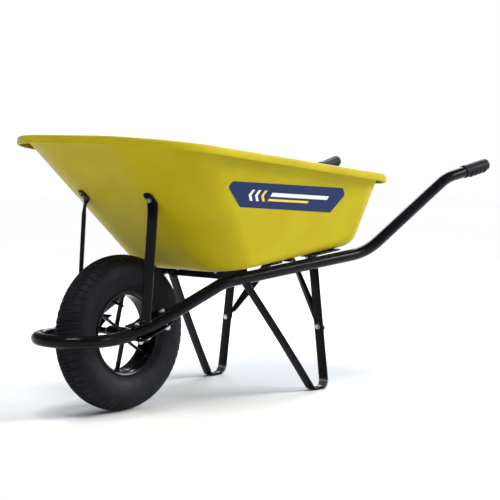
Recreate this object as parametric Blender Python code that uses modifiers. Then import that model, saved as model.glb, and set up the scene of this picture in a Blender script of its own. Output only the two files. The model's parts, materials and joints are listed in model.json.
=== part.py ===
"""Builder's wheelbarrow: pressed steel tub on a one-piece tubular frame, spoked wheel with a pneumatic tyre.

Every piece is modelled in the barrow's own coordinates: X runs from the wheel (front) to the grips, Y to the
barrow's left as seen by the person pushing it, Z up from the ground, and X = 0 is the wheel's axle. One empty
then shifts the whole barrow, so that the origin is under the middle of its bounding box.
"""

import math

import bmesh
import bpy
from mathutils import Matrix, Vector

# ---------------------------------------------------------------- driving dimensions, in metres
GAP = 0.0003
SIDES = (("right", -1), ("left", 1))

TYRE_RADIUS = 0.200
WHEEL_STEPS = 32
TUBE_RADIUS = 0.016
TUBE_WALL = 0.0018
TUBE_HALF_SPACING = 0.120  # at the axle
TUBE_SPREAD = 0.1355  # sideways per metre towards the grips
HOOP_FRONT = -0.2435
GRIP_START = 1.121
GRIP_END = 1.2235
TUBE_END = 1.2145
ORIGIN_SHIFT = -(GRIP_END + HOOP_FRONT - TUBE_RADIUS) / 2

# The frame tube's side view: (distance from the axle, height, bend radius) at each bend
FRAME_BENDS = ((-0.065, 0.2005, 0.45), (0.232, 0.318, 0.15), (0.7348, 0.3622, 0.234), (1.051, 0.555, 0.15))
FRAME_END_HEIGHT = 0.5875
HOOP_HEIGHT = 0.206
HOOP_BEND_RADIUS = 0.0985

# The tub's plan outlines: front, rear, half width at the front and rear, heights, corner radii
TUB_FLOOR = dict(front=0.197, rear=0.749, half_front=0.197, half_rear=0.199, z_front=0.341, z_rear=0.383,
                 r_front=0.109, r_rear=0.084)
TUB_RIM = dict(front=-0.155, rear=0.776, half_front=0.310, half_rear=0.286, z_front=0.705, z_rear=0.571,
               r_front=0.212, r_rear=0.112)
TUB_SHEET = 0.0015
TUB_FLOOR_FILLET = 0.036
LIP_WIDTH = 0.020
LIP_DEPTH = 0.017
CORNER_STEPS = 6
SIDE_STEPS = 5
WALL_LEVELS = (0.2, 0.4, 0.6, 0.8)

LEG_WIDTH = 0.030
LEG_THICKNESS = 0.005
FOOT_X = 0.5516
FOOT_Y = 0.194
FOOT_HALF_LENGTH = 0.0271
FOOT_BEND_RADIUS = 0.020
LEG_FRONT_X = 0.3285
LEG_FRONT_Y = 0.1285
LEG_REAR_X = 0.589
LEG_REAR_Y = 0.151
LEG_BOLT_Z = 0.166
LEG_TOP_Z = 0.335  # the height at which the leg's bar has its own Y at the frame

CROSS_FRONT_X = 0.3215
CROSS_BOTTOM = 0.3115
CROSS_SHEET = 0.004
STRAPS = (("middle_cross_strap", 0.4125, 0.045), ("narrow_cross_strap", 0.465, 0.018))
REAR_PLATE_X = 0.592
REAR_PLATE_LENGTH = 0.124
REAR_PLATE_SHEET = 0.004
PLATE_DROP = 0.0048  # the rear plate's underside and a small gap, below the tub's floor
BRACE_TOP_X = 0.637
BRACE_TOP_HALF = 0.018

STRUT_TAB_ANGLE = math.radians(9.8)  # round the tub's front corner, from straight ahead
STRUT_TAB_LEVEL = 0.572  # of the way from floor to rim
STRUT_ACROSS = (0.736, 0.677)
STRUT_BODY_TOP = (0.0005, 0.127, 0.500)
STRUT_KNEE = (0.0030, 0.1260, 0.523)
STRUT_FOOT_X = -0.023
STRUT_FOOT_OUT = 0.008  # the stay stands this far to the outside of the tube's centre line

BRACKET_BOLT_X = (-0.0435, 0.038)
BRACKET_EAR_Y = 0.096
BRACKET_SHEET = 0.004
AXLE_RADIUS = 0.006
AXLE_HALF = 0.1085
HUB_RADIUS = 0.015
HUB_HALF = 0.036
SPOKE_COUNT = 6
SPOKE_WIDTH = 0.015  # along the axle
SPOKE_SHEET = 0.005
SPOKE_START = math.radians(21.7)
SPOKE_HUB_OFFSET = 0.014
RIM_WELL_RADIUS = 0.0975
VALVE_ANGLE = math.radians(104)

M8_RADIUS = 0.004
M8_HOLE = 0.0045
HEX_RADIUS = 0.0075
NUT_HEIGHT = 0.0065

COLOURS = {
    "yellow_paint": ((0.62, 0.53, 0.03), 0.38, 0.0),
    "black_paint": ((0.012, 0.012, 0.016), 0.25, 0.0),
    "rubber": ((0.022, 0.024, 0.028), 0.75, 0.0),
    "grip_rubber": ((0.018, 0.018, 0.020), 0.6, 0.0),
    "zinc": ((0.62, 0.63, 0.65), 0.35, 1.0),
    "nylon": ((0.75, 0.74, 0.70), 0.5, 0.0),
    "navy_vinyl": ((0.010, 0.035, 0.105), 0.4, 0.0),
}


# ---------------------------------------------------------------- scene helpers
def clear_scene():
    for old in list(bpy.data.objects):
        bpy.data.objects.remove(old, do_unlink=True)


def new_collection(name, parent, hidden=False):
    collection = bpy.data.collections.new(name)
    parent.children.link(collection)
    collection.hide_render = hidden
    return collection


def new_empty(name, location, parent=None):
    empty = bpy.data.objects.new(name, None)
    PARTS.objects.link(empty)
    empty.location = location
    empty.parent = parent
    return empty


def material_named(name):
    material = bpy.data.materials.get(name)
    if material is None:
        colour, roughness, metallic = COLOURS[name]
        material = bpy.data.materials.new(name)
        material.use_nodes = True
        shader = material.node_tree.nodes["Principled BSDF"]
        shader.inputs["Base Color"].default_value = (*colour, 1)
        shader.inputs["Roughness"].default_value = roughness
        shader.inputs["Metallic"].default_value = metallic
        material.diffuse_color = (*colour, 1)
    return material


def new_part(name, mesh, material, parent, location=(0, 0, 0)):
    part = bpy.data.objects.new(name, mesh)
    PARTS.objects.link(part)
    part.parent = parent
    part.location = location
    if not mesh.materials:
        mesh.materials.append(material_named(material))
    mesh.shade_smooth()
    mesh.set_sharp_from_angle(angle=math.radians(35))
    return part


def new_cutter(name, mesh, parent):
    cutter = bpy.data.objects.new(name, mesh)
    CUTTERS.objects.link(cutter)
    cutter.parent = parent
    cutter.hide_render = True
    cutter.display_type = "WIRE"
    return cutter


def mesh_from(bm, name):
    bmesh.ops.recalc_face_normals(bm, faces=bm.faces)
    mesh = bpy.data.meshes.new(name)
    bm.to_mesh(mesh)
    bm.free()
    return mesh


def aim(obj, point, axis):
    """Puts the object's origin on the point and turns its Z axis along the given direction."""
    obj.location = point
    obj.rotation_euler = Vector(axis).to_track_quat("Z", "Y").to_euler()


def boolean(part, other, operation="DIFFERENCE"):
    modifier = part.modifiers.new(other.name, "BOOLEAN")
    modifier.operation = operation
    modifier.object = other
    modifier.solver = "EXACT"


def drill(part, name, point, axis, radius, length, sides=8):
    """Cuts a round hole of the given length, centred on the point."""
    bm = bmesh.new()
    bmesh.ops.create_cone(bm, cap_ends=True, segments=sides, radius1=radius, radius2=radius, depth=length)
    cutter = new_cutter(f"cut_{name}", mesh_from(bm, f"cut_{name}"), part.parent)
    aim(cutter, point, axis)
    boolean(part, cutter)


# ---------------------------------------------------------------- shape helpers
def rounded_path(corners, step=math.radians(9)):
    """Points along a path of straight runs whose corners, (point, bend radius), are rounded by arcs."""
    points = [Vector(corners[0][0])]
    for (before, _), (corner, radius), (after, _) in zip(corners, corners[1:], corners[2:]):
        corner = Vector(corner)
        back = (Vector(before) - corner).normalized()
        onward = (Vector(after) - corner).normalized()
        turn = math.pi - back.angle(onward)
        reach = radius * math.tan(turn / 2)
        centre = corner + (back + onward).normalized() * (radius / math.cos(turn / 2))
        start = corner + back * reach - centre
        end = corner + onward * reach - centre
        count = max(2, math.ceil(turn / step))
        for i in range(count + 1):
            share = i / count
            blend = (start * math.sin((1 - share) * turn) + end * math.sin(share * turn)) / math.sin(turn)
            points.append(centre + blend)
    points.append(Vector(corners[-1][0]))
    return points


def ring_mesh(name, rings, closed_ends=True):
    """A skin through rings of points, each ring with the same count, with flat end caps."""
    bm = bmesh.new()
    rows = [[bm.verts.new(point) for point in ring] for ring in rings]
    for row, following in zip(rows, rows[1:]):
        for i in range(len(row)):
            j = (i + 1) % len(row)
            bm.faces.new((row[i], row[j], following[j], following[i]))
    if closed_ends:
        bm.faces.new(reversed(rows[0]))
        bm.faces.new(rows[-1])
    return mesh_from(bm, name)


def flat_oval(width, thickness, steps=4):
    """Points of a bar's section, a rectangle with fully rounded ends, as (across, through) pairs."""
    radius = thickness / 2
    straight = max(width / 2 - radius, 0)
    section = []
    for side in (1, -1):
        for i in range(steps + 1):
            angle = math.pi * (i / steps - side / 2)
            section.append((side * straight + radius * math.cos(angle), radius * math.sin(angle)))
    return section


def bar_mesh(name, stations, steps=4):
    """A bar through stations of (point, across, width, thickness): a flat-oval section square to the path."""
    points = [Vector(station[0]) for station in stations]
    rings = []
    for i, (_, across, width, thickness) in enumerate(stations):
        along = (points[min(i + 1, len(points) - 1)] - points[max(i - 1, 0)]).normalized()
        across = (Vector(across) - along * along.dot(Vector(across))).normalized()
        through = along.cross(across)
        rings.append([points[i] + across * a + through * t for a, t in flat_oval(width, thickness, steps)])
    return ring_mesh(name, rings)


def box_mesh(name, low, high):
    bm = bmesh.new()
    size = Vector(high) - Vector(low)
    matrix = Matrix.Translation((Vector(low) + Vector(high)) / 2) @ Matrix.Diagonal((*size, 1))
    bmesh.ops.create_cube(bm, size=1, matrix=matrix)
    return mesh_from(bm, name)


def outline_mesh(name, points, thickness):
    """A flat plate: an outline in the XZ plane, filled, and thick along Y, centred on Y = 0."""
    bm = bmesh.new()
    face = bm.faces.new([bm.verts.new((x, -thickness / 2, z)) for x, z in points])
    grown = bmesh.ops.extrude_face_region(bm, geom=[face])["geom"]
    moved = [item for item in grown if isinstance(item, bmesh.types.BMVert)]
    bmesh.ops.translate(bm, verts=moved, vec=(0, thickness, 0))
    return mesh_from(bm, name)


def turned_part(name, profile, material, parent, steps=24, closed=False, location=(0, 0, 0)):
    """A profile of (radius, height) points, turned about the object's own Z axis by a Screw modifier."""
    bm = bmesh.new()
    verts = [bm.verts.new((radius, 0, height)) for radius, height in profile]
    for first, second in zip(verts, verts[1:] + verts[:1] if closed else verts[1:]):
        bm.edges.new((first, second))
    mesh = bpy.data.meshes.new(name)
    bm.to_mesh(mesh)
    bm.free()
    part = new_part(name, mesh, material, parent, location)
    screw = part.modifiers.new("turn", "SCREW")
    screw.steps = screw.render_steps = steps
    screw.use_merge_vertices = True
    screw.merge_threshold = 0.00001
    screw.use_normal_calculate = False
    screw.use_smooth_shade = True
    return part


def mirrored_profile(half):
    """A profile of (radius, half width) points from the middle outwards, made whole on both sides."""
    return [(radius, -width) for radius, width in reversed(half)] + [p for p in half if p[1] > 0]


# ---------------------------------------------------------------- fasteners
def hex_prism(bm, radius, low, high):
    matrix = Matrix.Translation((0, 0, (low + high) / 2))
    bmesh.ops.create_cone(bm, cap_ends=True, segments=6, radius1=radius, radius2=radius, depth=high - low,
                          matrix=matrix)


def hex_bolt(name, parent, head_seat, axis, length, radius=M8_RADIUS):
    """A hexagon bolt: the head stands on head_seat along axis, and the shank runs the other way."""
    bm = bmesh.new()
    hex_prism(bm, HEX_RADIUS * radius / M8_RADIUS, GAP, GAP + radius * 1.35)
    head = mesh_from(bm, name)
    bolt = new_part(name, head, "zinc", parent)
    bm = bmesh.new()
    top = GAP + radius * 0.6
    bmesh.ops.create_cone(bm, cap_ends=True, segments=8, radius1=radius, radius2=radius, depth=length + top,
                          matrix=Matrix.Translation((0, 0, (top - length) / 2)))
    shank = new_cutter(f"shank_{name}", mesh_from(bm, f"shank_{name}"), parent)
    boolean(bolt, shank, "UNION")
    for piece in (bolt, shank):
        aim(piece, head_seat, axis)
    return bolt


def dome_bolt(name, parent, head_seat, axis, length):
    """A carriage bolt: a low domed head on head_seat along axis, and the shank the other way."""
    dome = 0.0095
    profile = [(0, GAP + 0.0042), (dome * 0.5, GAP + 0.0036), (dome * 0.85, GAP + 0.002), (dome, GAP)]
    profile += [(M8_RADIUS, GAP), (M8_RADIUS, -length), (0, -length)]
    bolt = turned_part(name, profile, "zinc", parent, steps=8)
    aim(bolt, head_seat, axis)
    return bolt


def hex_nut(name, parent, seat, axis, radius=M8_RADIUS, height=NUT_HEIGHT):
    """A hexagon nut that stands on seat along axis."""
    bm = bmesh.new()
    hex_prism(bm, HEX_RADIUS * radius / M8_RADIUS, GAP, GAP + height)
    nut = new_part(name, mesh_from(bm, name), "zinc", parent)
    aim(nut, seat, axis)
    axis = Vector(axis).normalized()
    drill(nut, f"thread_{name}", Vector(seat) + axis * (GAP + height / 2), axis, radius + 0.0004, 3 * height, 10)
    return nut


# ---------------------------------------------------------------- frame tube
def half_spacing(x):
    return TUBE_HALF_SPACING + TUBE_SPREAD * x


def frame_path(side):
    """The frame tube's centre line from the middle of the front hoop to one grip."""
    corners = [((HOOP_FRONT, 0, HOOP_HEIGHT), 0)]
    corners += [((HOOP_FRONT, side * half_spacing(HOOP_FRONT), HOOP_HEIGHT), HOOP_BEND_RADIUS)]
    corners += [((x, side * half_spacing(x), z), radius) for x, z, radius in FRAME_BENDS]
    corners += [((TUBE_END, side * half_spacing(TUBE_END), FRAME_END_HEIGHT), 0)]
    return rounded_path(corners)


def frame_at(x, side):
    """The centre line's point at this X, and its direction there."""
    points = [p for p in frame_path(side) if p.x > HOOP_FRONT + 0.09]
    for first, second in zip(points, points[1:]):
        if first.x <= x <= second.x:
            share = (x - first.x) / (second.x - first.x)
            return first.lerp(second, share), (second - first).normalized()
    raise ValueError(f"the frame tube has no point at {x}")


def tube_normal(along):
    """The direction square to the tube, up, in its own vertical plane."""
    return (Vector((0, 0, 1)) - along * along.z).normalized()


def swept_tube(name, points, radius, resolution, caps=True):
    """A tube's mesh, from a poly curve with a round bevel."""
    curve = bpy.data.curves.new(name, "CURVE")
    curve.dimensions = "3D"
    spline = curve.splines.new("POLY")
    spline.points.add(len(points) - 1)
    for target, point in zip(spline.points, points):
        target.co = (*point, 1)
    curve.bevel_depth = radius
    curve.bevel_resolution = resolution
    curve.use_fill_caps = caps
    holder = bpy.data.objects.new(name, curve)
    PARTS.objects.link(holder)
    bpy.context.view_layer.update()
    evaluated = holder.evaluated_get(bpy.context.evaluated_depsgraph_get())
    mesh = bpy.data.meshes.new_from_object(evaluated)
    bpy.data.objects.remove(holder, do_unlink=True)
    bpy.data.curves.remove(curve)
    bm = bmesh.new()
    bm.from_mesh(mesh)
    bmesh.ops.remove_doubles(bm, verts=bm.verts, dist=1e-6)
    bpy.data.meshes.remove(mesh)
    return mesh_from(bm, name)


def make_frame_tube(root):
    mesh = swept_tube("frame_tube", frame_path(-1), TUBE_RADIUS, 4, caps=False)
    frame = new_part("frame_tube", mesh, "black_paint", root)
    mirror = frame.modifiers.new("left half", "MIRROR")
    mirror.use_axis = (False, True, False)
    mirror.merge_threshold = 0.00001
    wall = frame.modifiers.new("wall", "SOLIDIFY")
    wall.thickness = TUBE_WALL
    wall.offset = -1
    return frame


# ---------------------------------------------------------------- tub
def tub_outline(front, rear, half_front, half_rear, z_front, z_rear, r_front, r_rear):
    """A level of the tub: a trapezoid with rounded corners, whose height changes evenly along X."""
    corners = [(front, -half_front, r_front), (rear, -half_rear, r_rear),
               (rear, half_rear, r_rear), (front, half_front, r_front)]
    points = []
    for i, (x, y, radius) in enumerate(corners):
        corner = Vector((x, y))
        before = (Vector(corners[i - 1][:2]) - corner).normalized()
        after = (Vector(corners[(i + 1) % 4][:2]) - corner).normalized()
        turn = math.pi - before.angle(after)
        centre = corner + (before + after).normalized() * (radius / math.cos(turn / 2))
        start = (corner + before * radius * math.tan(turn / 2) - centre).normalized()
        for k in range(CORNER_STEPS + 1):
            arm = Matrix.Rotation(turn * k / CORNER_STEPS, 2) @ start * radius
            points.append(centre + arm)
    steps = CORNER_STEPS + 1
    right = [points[steps - 1].lerp(points[steps], k / SIDE_STEPS) for k in range(1, SIDE_STEPS)]
    left = [points[3 * steps - 1].lerp(points[3 * steps], k / SIDE_STEPS) for k in range(1, SIDE_STEPS)]
    points = points[:steps] + right + points[steps:3 * steps] + left + points[3 * steps:]
    slope = (z_rear - z_front) / (rear - front)
    return [Vector((p.x, p.y, z_front + slope * (p.x - front))) for p in points]


def grown(level, outward, up):
    """The same level moved outward all round, and up."""
    changed = dict(level)
    changed["front"] -= outward
    changed["rear"] += outward
    for key in ("half_front", "half_rear", "r_front", "r_rear"):
        changed[key] += outward
    slope = (level["z_rear"] - level["z_front"]) / (level["rear"] - level["front"])
    changed["z_front"] += up - slope * outward
    changed["z_rear"] += up + slope * outward
    return changed


def wall_foot():
    """Where the tub's wall starts, above the rounded edge of the floor."""
    pairs = zip(tub_outline(**TUB_FLOOR), tub_outline(**TUB_RIM))
    return [low + (high - low).normalized() * TUB_FLOOR_FILLET for low, high in pairs]


def tub_rings():
    """Rings of the tub's outer skin, from the floor's flat part to the lip's lower edge."""
    floor = tub_outline(**TUB_FLOOR)
    rim = tub_outline(**TUB_RIM)
    inset = tub_outline(**grown(TUB_FLOOR, -TUB_FLOOR_FILLET, 0))
    rise = wall_foot()
    rings = []
    for share in (0, 0.3, 0.65, 1):
        rings.append([a * (1 - share) ** 2 + b * 2 * share * (1 - share) + c * share ** 2
                      for a, b, c in zip(inset, floor, rise)])
    for share in WALL_LEVELS:
        rings.append([a.lerp(b, share) for a, b in zip(rise, rim)])
    lip = ((-0.001, -0.006), (0.004, -0.001), (0.6 * LIP_WIDTH, 0), (0.92 * LIP_WIDTH, -0.2 * LIP_DEPTH),
           (LIP_WIDTH, -LIP_DEPTH))
    rings += [tub_outline(**grown(TUB_RIM, outward, up)) for outward, up in lip]
    return rings


def floor_height(x):
    """Height of the underside of the tub's floor."""
    slope = (TUB_FLOOR["z_rear"] - TUB_FLOOR["z_front"]) / (TUB_FLOOR["rear"] - TUB_FLOOR["front"])
    return TUB_FLOOR["z_front"] + slope * (x - TUB_FLOOR["front"])


def floor_normal():
    run = 0.1
    return Vector((floor_height(0) - floor_height(run), 0, run)).normalized()


def make_tub(root):
    rings = tub_rings()
    bm = bmesh.new()
    rows = [[bm.verts.new(point) for point in ring] for ring in rings]
    for row, following in zip(rows, rows[1:]):
        for i in range(len(row)):
            j = (i + 1) % len(row)
            bm.faces.new((row[i], following[i], following[j], row[j]))
    bm.faces.new(rows[0])
    mesh = bpy.data.meshes.new("tub")
    bm.to_mesh(mesh)
    bm.free()
    tub = new_part("tub", mesh, "yellow_paint", root)
    sheet = tub.modifiers.new("sheet", "SOLIDIFY")
    sheet.thickness = TUB_SHEET
    sheet.offset = 1
    return tub


def tub_corner_point(angle, level, side):
    """A point on a front corner of the tub's skin, at an angle from straight ahead, at a share of its height."""
    mix = {key: TUB_FLOOR[key] * (1 - level) + TUB_RIM[key] * level for key in TUB_RIM}
    x = mix["front"] + mix["r_front"] * (1 - math.cos(angle))
    y = mix["half_front"] - mix["r_front"] * (1 - math.sin(angle))
    slope = (mix["z_rear"] - mix["z_front"]) / (mix["rear"] - mix["front"])
    return Vector((x, side * y, mix["z_front"] + slope * (x - mix["front"])))


def tub_corner_frame(angle, level, side):
    """The point, the direction up the wall, the direction round the corner and the outward normal."""
    small = 0.01
    point = tub_corner_point(angle, level, side)
    up = (tub_corner_point(angle, level + small, side) - point).normalized()
    around = (tub_corner_point(angle + small, level, side) - point).normalized()
    outward = around.cross(up).normalized()
    if outward.x > 0:
        outward = -outward
    return point, up, around, outward


# ---------------------------------------------------------------- labels
LABEL_OUTLINE = ((0.137, 0.588), (0.124, 0.575), (0.184, 0.520), (0.550, 0.484), (0.590, 0.529), (0.573, 0.549))
LABEL_OFF_WALL = 0.0004
LABEL_SHEET = 0.0004


def make_label(root, name, side):
    """A thin vinyl label that follows the tub's side wall."""
    rise = wall_foot()
    rim = tub_outline(**TUB_RIM)
    keep = [i for i in range(len(rim)) if rise[i].y * side > 0 and rim[i].x > -0.1]
    bm = bmesh.new()
    rows = []
    for share in WALL_LEVELS:
        rows.append([bm.verts.new(rise[i].lerp(rim[i], share)) for i in keep])
    for row, following in zip(rows, rows[1:]):
        for first, second, third, fourth in zip(row, row[1:], following[1:], following):
            bm.faces.new((first, second, third, fourth))
    bm.normal_update()
    for vert, outward in [(vert, vert.normal.copy()) for vert in bm.verts]:
        vert.co += outward * LABEL_OFF_WALL
    mesh = bpy.data.meshes.new(name)
    bm.to_mesh(mesh)
    bm.free()
    label = new_part(name, mesh, "navy_vinyl", root)
    sheet = label.modifiers.new("sheet", "SOLIDIFY")
    sheet.thickness = LABEL_SHEET
    sheet.offset = 1
    corners = [((x, 0, z), 0.008) for x, z in LABEL_OUTLINE]
    path = rounded_path([corners[-1]] + corners + [corners[0]], step=math.radians(20))[1:-1]
    stamp = new_cutter(f"stamp_{name}", outline_mesh(name, [(p.x, p.z) for p in path], 0.5), root)
    stamp.location.y = side * 0.27
    boolean(label, stamp, "INTERSECT")
    return label


# ---------------------------------------------------------------- cross members, legs and braces
def make_front_cross_member(root):
    """A steel angle between the frame tubes, under the front of the tub's floor."""
    half = half_spacing(CROSS_FRONT_X) - TUBE_RADIUS - 0.0012
    tall = box_mesh("front_cross_member", (CROSS_FRONT_X, -half, CROSS_BOTTOM),
                    (CROSS_FRONT_X + CROSS_SHEET, half, floor_height(CROSS_FRONT_X) - GAP - 0.001))
    angle = new_part("front_cross_member", tall, "black_paint", root)
    flat = box_mesh("flange", (-0.036, -half, -CROSS_SHEET), (0.0035, half, 0))
    flange = new_cutter("flange", flat, root)
    aim(flange, (CROSS_FRONT_X, 0, floor_height(CROSS_FRONT_X) - GAP), (0, 0, 1))
    flange.rotation_euler = (0, -math.atan2(-floor_normal().x, floor_normal().z), 0)
    boolean(angle, flange, "UNION")
    return angle


def make_strap(root, name, x, length, thickness):
    """A flat strap under the tub's floor that rests across both frame tubes."""
    half = half_spacing(x - length / 2)
    mesh = box_mesh(name, (-length / 2, -half, -thickness), (length / 2, half, 0))
    strap = new_part(name, mesh, "black_paint", root, (x, 0, floor_height(x) - GAP))
    strap.rotation_euler = (0, -math.atan2(-floor_normal().x, floor_normal().z), 0)
    return strap


def leg_y(x, z):
    """How far out the middle of a leg's bar is, which leans outward towards the foot."""
    share = (x - LEG_FRONT_X) / (LEG_REAR_X - LEG_FRONT_X)
    top = LEG_FRONT_Y + (LEG_REAR_Y - LEG_FRONT_Y) * share
    return FOOT_Y + (top - FOOT_Y) * z / LEG_TOP_Z


def leg_path():
    half = LEG_THICKNESS / 2
    rear_top = floor_height(LEG_REAR_X) - PLATE_DROP - half
    tab = -math.tan(math.atan2(-floor_normal().x, floor_normal().z))
    return rounded_path([
        ((LEG_FRONT_X, 0, 0.337), 0),
        ((LEG_FRONT_X, 0, 0.309), 0.012),
        ((FOOT_X - FOOT_HALF_LENGTH, 0, half), FOOT_BEND_RADIUS),
        ((FOOT_X + FOOT_HALF_LENGTH, 0, half), FOOT_BEND_RADIUS),
        ((LEG_REAR_X, 0, rear_top), 0.008),
        ((LEG_REAR_X - 0.034, 0, rear_top + tab * 0.034), 0),
    ], step=math.radians(15))


def make_leg(root, name, side):
    """A V-shaped leg bent from flat bar; the bar leans outward, and stays level across at the foot."""
    points = leg_path()
    rings = []
    for i, point in enumerate(points):
        along = (points[min(i + 1, len(points) - 1)] - points[max(i - 1, 0)]).normalized()
        out = Vector((-along.z, 0, along.x)) * LEG_THICKNESS / 2
        if 0 < i < len(points) - 1:
            lean = (points[i + 1] - point).angle(point - points[i - 1]) / 2
            out /= math.cos(lean)
        middle = Vector((point.x, side * leg_y(point.x, point.z), point.z))
        wide = Vector((0, LEG_WIDTH / 2, 0))
        rings.append([middle + out - wide, middle + out + wide, middle - out + wide, middle - out - wide])
    leg = new_part(name, ring_mesh(name, rings), "black_paint", root)
    return leg


LEG_LEAN = (LEG_REAR_X - FOOT_X - FOOT_HALF_LENGTH) / floor_height(LEG_REAR_X)


def leg_rear_x(z):
    """X of the rear branch's middle line at this height."""
    return FOOT_X + FOOT_HALF_LENGTH + LEG_LEAN * z


def brace_stations():
    """The brace's right half: a tube flattened to a lug behind the leg, and flattened again under the rear plate."""
    top_z = floor_height(BRACE_TOP_X) - PLATE_DROP - 0.0032
    lug = Vector((leg_rear_x(LEG_BOLT_Z) + LEG_THICKNESS / 2 + 0.0025 + GAP, -leg_y(LEG_REAR_X, LEG_BOLT_Z),
                  LEG_BOLT_Z))
    top = Vector((BRACE_TOP_X, -BRACE_TOP_HALF, top_z))
    along = (top - lug).normalized()
    face = Vector((LEG_LEAN * along.z, along.y, along.z)).normalized()
    flat = face.cross(Vector((1, 0, 0))).normalized()
    lug_low = lug - face * 0.015
    lug_high = lug + face * 0.014
    grown_at = lug + face * 0.034 + Vector((0.0055, 0, 0))
    near_top = top - along * 0.040
    return [
        (lug_low, flat, 0.018, 0.004), (lug_low + face * 0.006, flat, 0.025, 0.004), (lug_high, flat, 0.025, 0.004),
        (grown_at, flat, 0.023, 0.011), (grown_at.lerp(near_top, 0.5), (0.3, flat.y, flat.z), 0.023, 0.011),
        (near_top, (0.8, flat.y, flat.z), 0.023, 0.010), (top + Vector((0, 0, -0.0002)), (1, 0, 0), 0.024, 0.0048),
        (Vector((BRACE_TOP_X, -BRACE_TOP_HALF / 2, top_z)), (1, 0, 0), 0.024, 0.0048),
        (Vector((BRACE_TOP_X, 0, top_z)), (1, 0, 0), 0.024, 0.0048),
    ]


def make_leg_brace(root):
    right = brace_stations()
    left = [((p[0], -p[1], p[2]), (-a[0], a[1], -a[2]), w, t) for p, a, w, t in reversed(right[:-1])]
    left = [(p, (-a[0], -a[1], -a[2]), w, t) for p, a, w, t in left]
    return new_part("leg_brace", bar_mesh("leg_brace", right + left, 3), "black_paint", root)


# ---------------------------------------------------------------- struts and axle brackets
def tube_top_strip(side, offset, shift_y, from_x, to_x, count, width, thickness, turned=True):
    """Stations of a strip that follows the tube at a distance above (or, if negative, below) its centre."""
    stations = []
    for i in range(count):
        x = from_x + (to_x - from_x) * i / (count - 1)
        point, along = frame_at(x, side)
        sideways = along.cross(Vector((0, 0, 1))).normalized() if turned else Vector((0, 1, 0))
        place = point + tube_normal(along) * offset
        if shift_y is not None:
            place.y = side * shift_y
        stations.append((place, sideways, width, thickness))
    return stations


STRUT_PLATE = 0.004
STRUT_TAB = 0.004


def make_strut(root, name, side):
    """A stay from the frame tube up to the tub's front corner: flat-oval tube, flattened tab, welded foot."""
    wall, up, around, outward = tub_corner_frame(STRUT_TAB_ANGLE, STRUT_TAB_LEVEL, side)
    tab = wall + outward * (STRUT_TAB / 2 + 0.0008)
    diagonal = Vector((STRUT_ACROSS[0], side * STRUT_ACROSS[1], 0))
    foot_point, foot_along = frame_at(STRUT_FOOT_X, side)
    foot = foot_point + tube_normal(foot_along) * (TUBE_RADIUS + GAP) + Vector((0, side * STRUT_FOOT_OUT, 0))
    knee = Vector(STRUT_KNEE)
    knee.y *= side
    body_top = Vector(STRUT_BODY_TOP)
    body_top.y *= side
    stations = [
        (foot, diagonal, 0.026, 0.011), (foot.lerp(body_top, 0.5), diagonal, 0.026, 0.011),
        (body_top, diagonal, 0.026, 0.011), (knee, diagonal.lerp(around, 0.35), 0.027, 0.008),
        (tab - up * 0.012, around, 0.029, STRUT_TAB), (tab, around, 0.029, STRUT_TAB),
        (tab + up * 0.012, around, 0.027, STRUT_TAB), (tab + up * 0.018, around, 0.018, STRUT_TAB),
    ]
    strut = new_part(name, bar_mesh(name, stations), "black_paint", root)
    offset = TUBE_RADIUS + GAP + STRUT_PLATE / 2
    strip = tube_top_strip(side, offset, None, BRACKET_BOLT_X[0] - 0.016, BRACKET_BOLT_X[1] + 0.016, 9, 0.030,
                           STRUT_PLATE)
    plate = new_cutter(f"foot_{name}", bar_mesh(f"foot_{name}", strip, 2), root)
    boolean(strut, plate, "UNION")
    drill(strut, f"seat_{name}", foot_point, foot_along, TUBE_RADIUS + 2 * GAP, 0.046, 24)
    return strut


def make_axle_bracket(root, name, side):
    """A flange bolted under the frame tube, with an ear that hangs down on the inner side and holds the axle."""
    offset = -(TUBE_RADIUS + GAP + 0.0004 + BRACKET_SHEET / 2)
    strip = tube_top_strip(side, offset, 0.1150, -0.054, 0.054, 9, 0.0425, BRACKET_SHEET, turned=False)
    flange = bar_mesh(name, strip, 2)
    bracket = new_part(name, flange, "black_paint", root)
    reach = 0.018
    left, _ = frame_at(-0.040, side)
    right, _ = frame_at(0.044, side)
    under = TUBE_RADIUS + BRACKET_SHEET / 2 + 0.0012
    points = [(-0.040, left.z - under), (0.0, TYRE_RADIUS + 0.0035), (0.044, right.z - under - 0.001)]
    points = [points[0]] + [(reach * math.sin(a), TYRE_RADIUS - reach * math.cos(a))
                            for a in [math.radians(-70 + 20 * k) for k in range(9)]] + [points[2], points[1]]
    ear = new_cutter(f"ear_{name}", outline_mesh(f"ear_{name}", points, BRACKET_SHEET), root)
    ear.location.y = side * BRACKET_EAR_Y
    boolean(bracket, ear, "UNION")
    drill(bracket, f"axle_{name}", (0, side * BRACKET_EAR_Y, TYRE_RADIUS), (0, 1, 0), AXLE_RADIUS + GAP, 0.02, 16)
    drill(bracket, f"nut_{name}", (0, side * (BRACKET_EAR_Y + 0.002 + 0.0065), TYRE_RADIUS), (0, 1, 0), 0.0128,
          0.013, 16)
    return bracket


def fit_bracket_bolts(root, frame, strut, bracket, word, side):
    """Two bolts that clamp the strut's foot, the frame tube and the axle bracket together."""
    for end, x in zip(("front", "rear"), BRACKET_BOLT_X):
        middle, along = frame_at(x, side)
        axis = tube_normal(along)
        for piece, tag in ((frame, "frame"), (strut, "strut"), (bracket, "bracket")):
            drill(piece, f"{tag}_{end}_{word}", middle, axis, M8_HOLE, 0.080)
        top = middle + axis * (TUBE_RADIUS + GAP + STRUT_PLATE + 0.0007)
        bottom = middle - axis * (TUBE_RADIUS + GAP + 0.0004 + BRACKET_SHEET + 0.0006)
        hex_bolt(f"bracket_bolt_{end}_{word}", root, top, axis, 0.052)
        hex_nut(f"bracket_nut_{end}_{word}", root, bottom, -axis)


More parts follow.
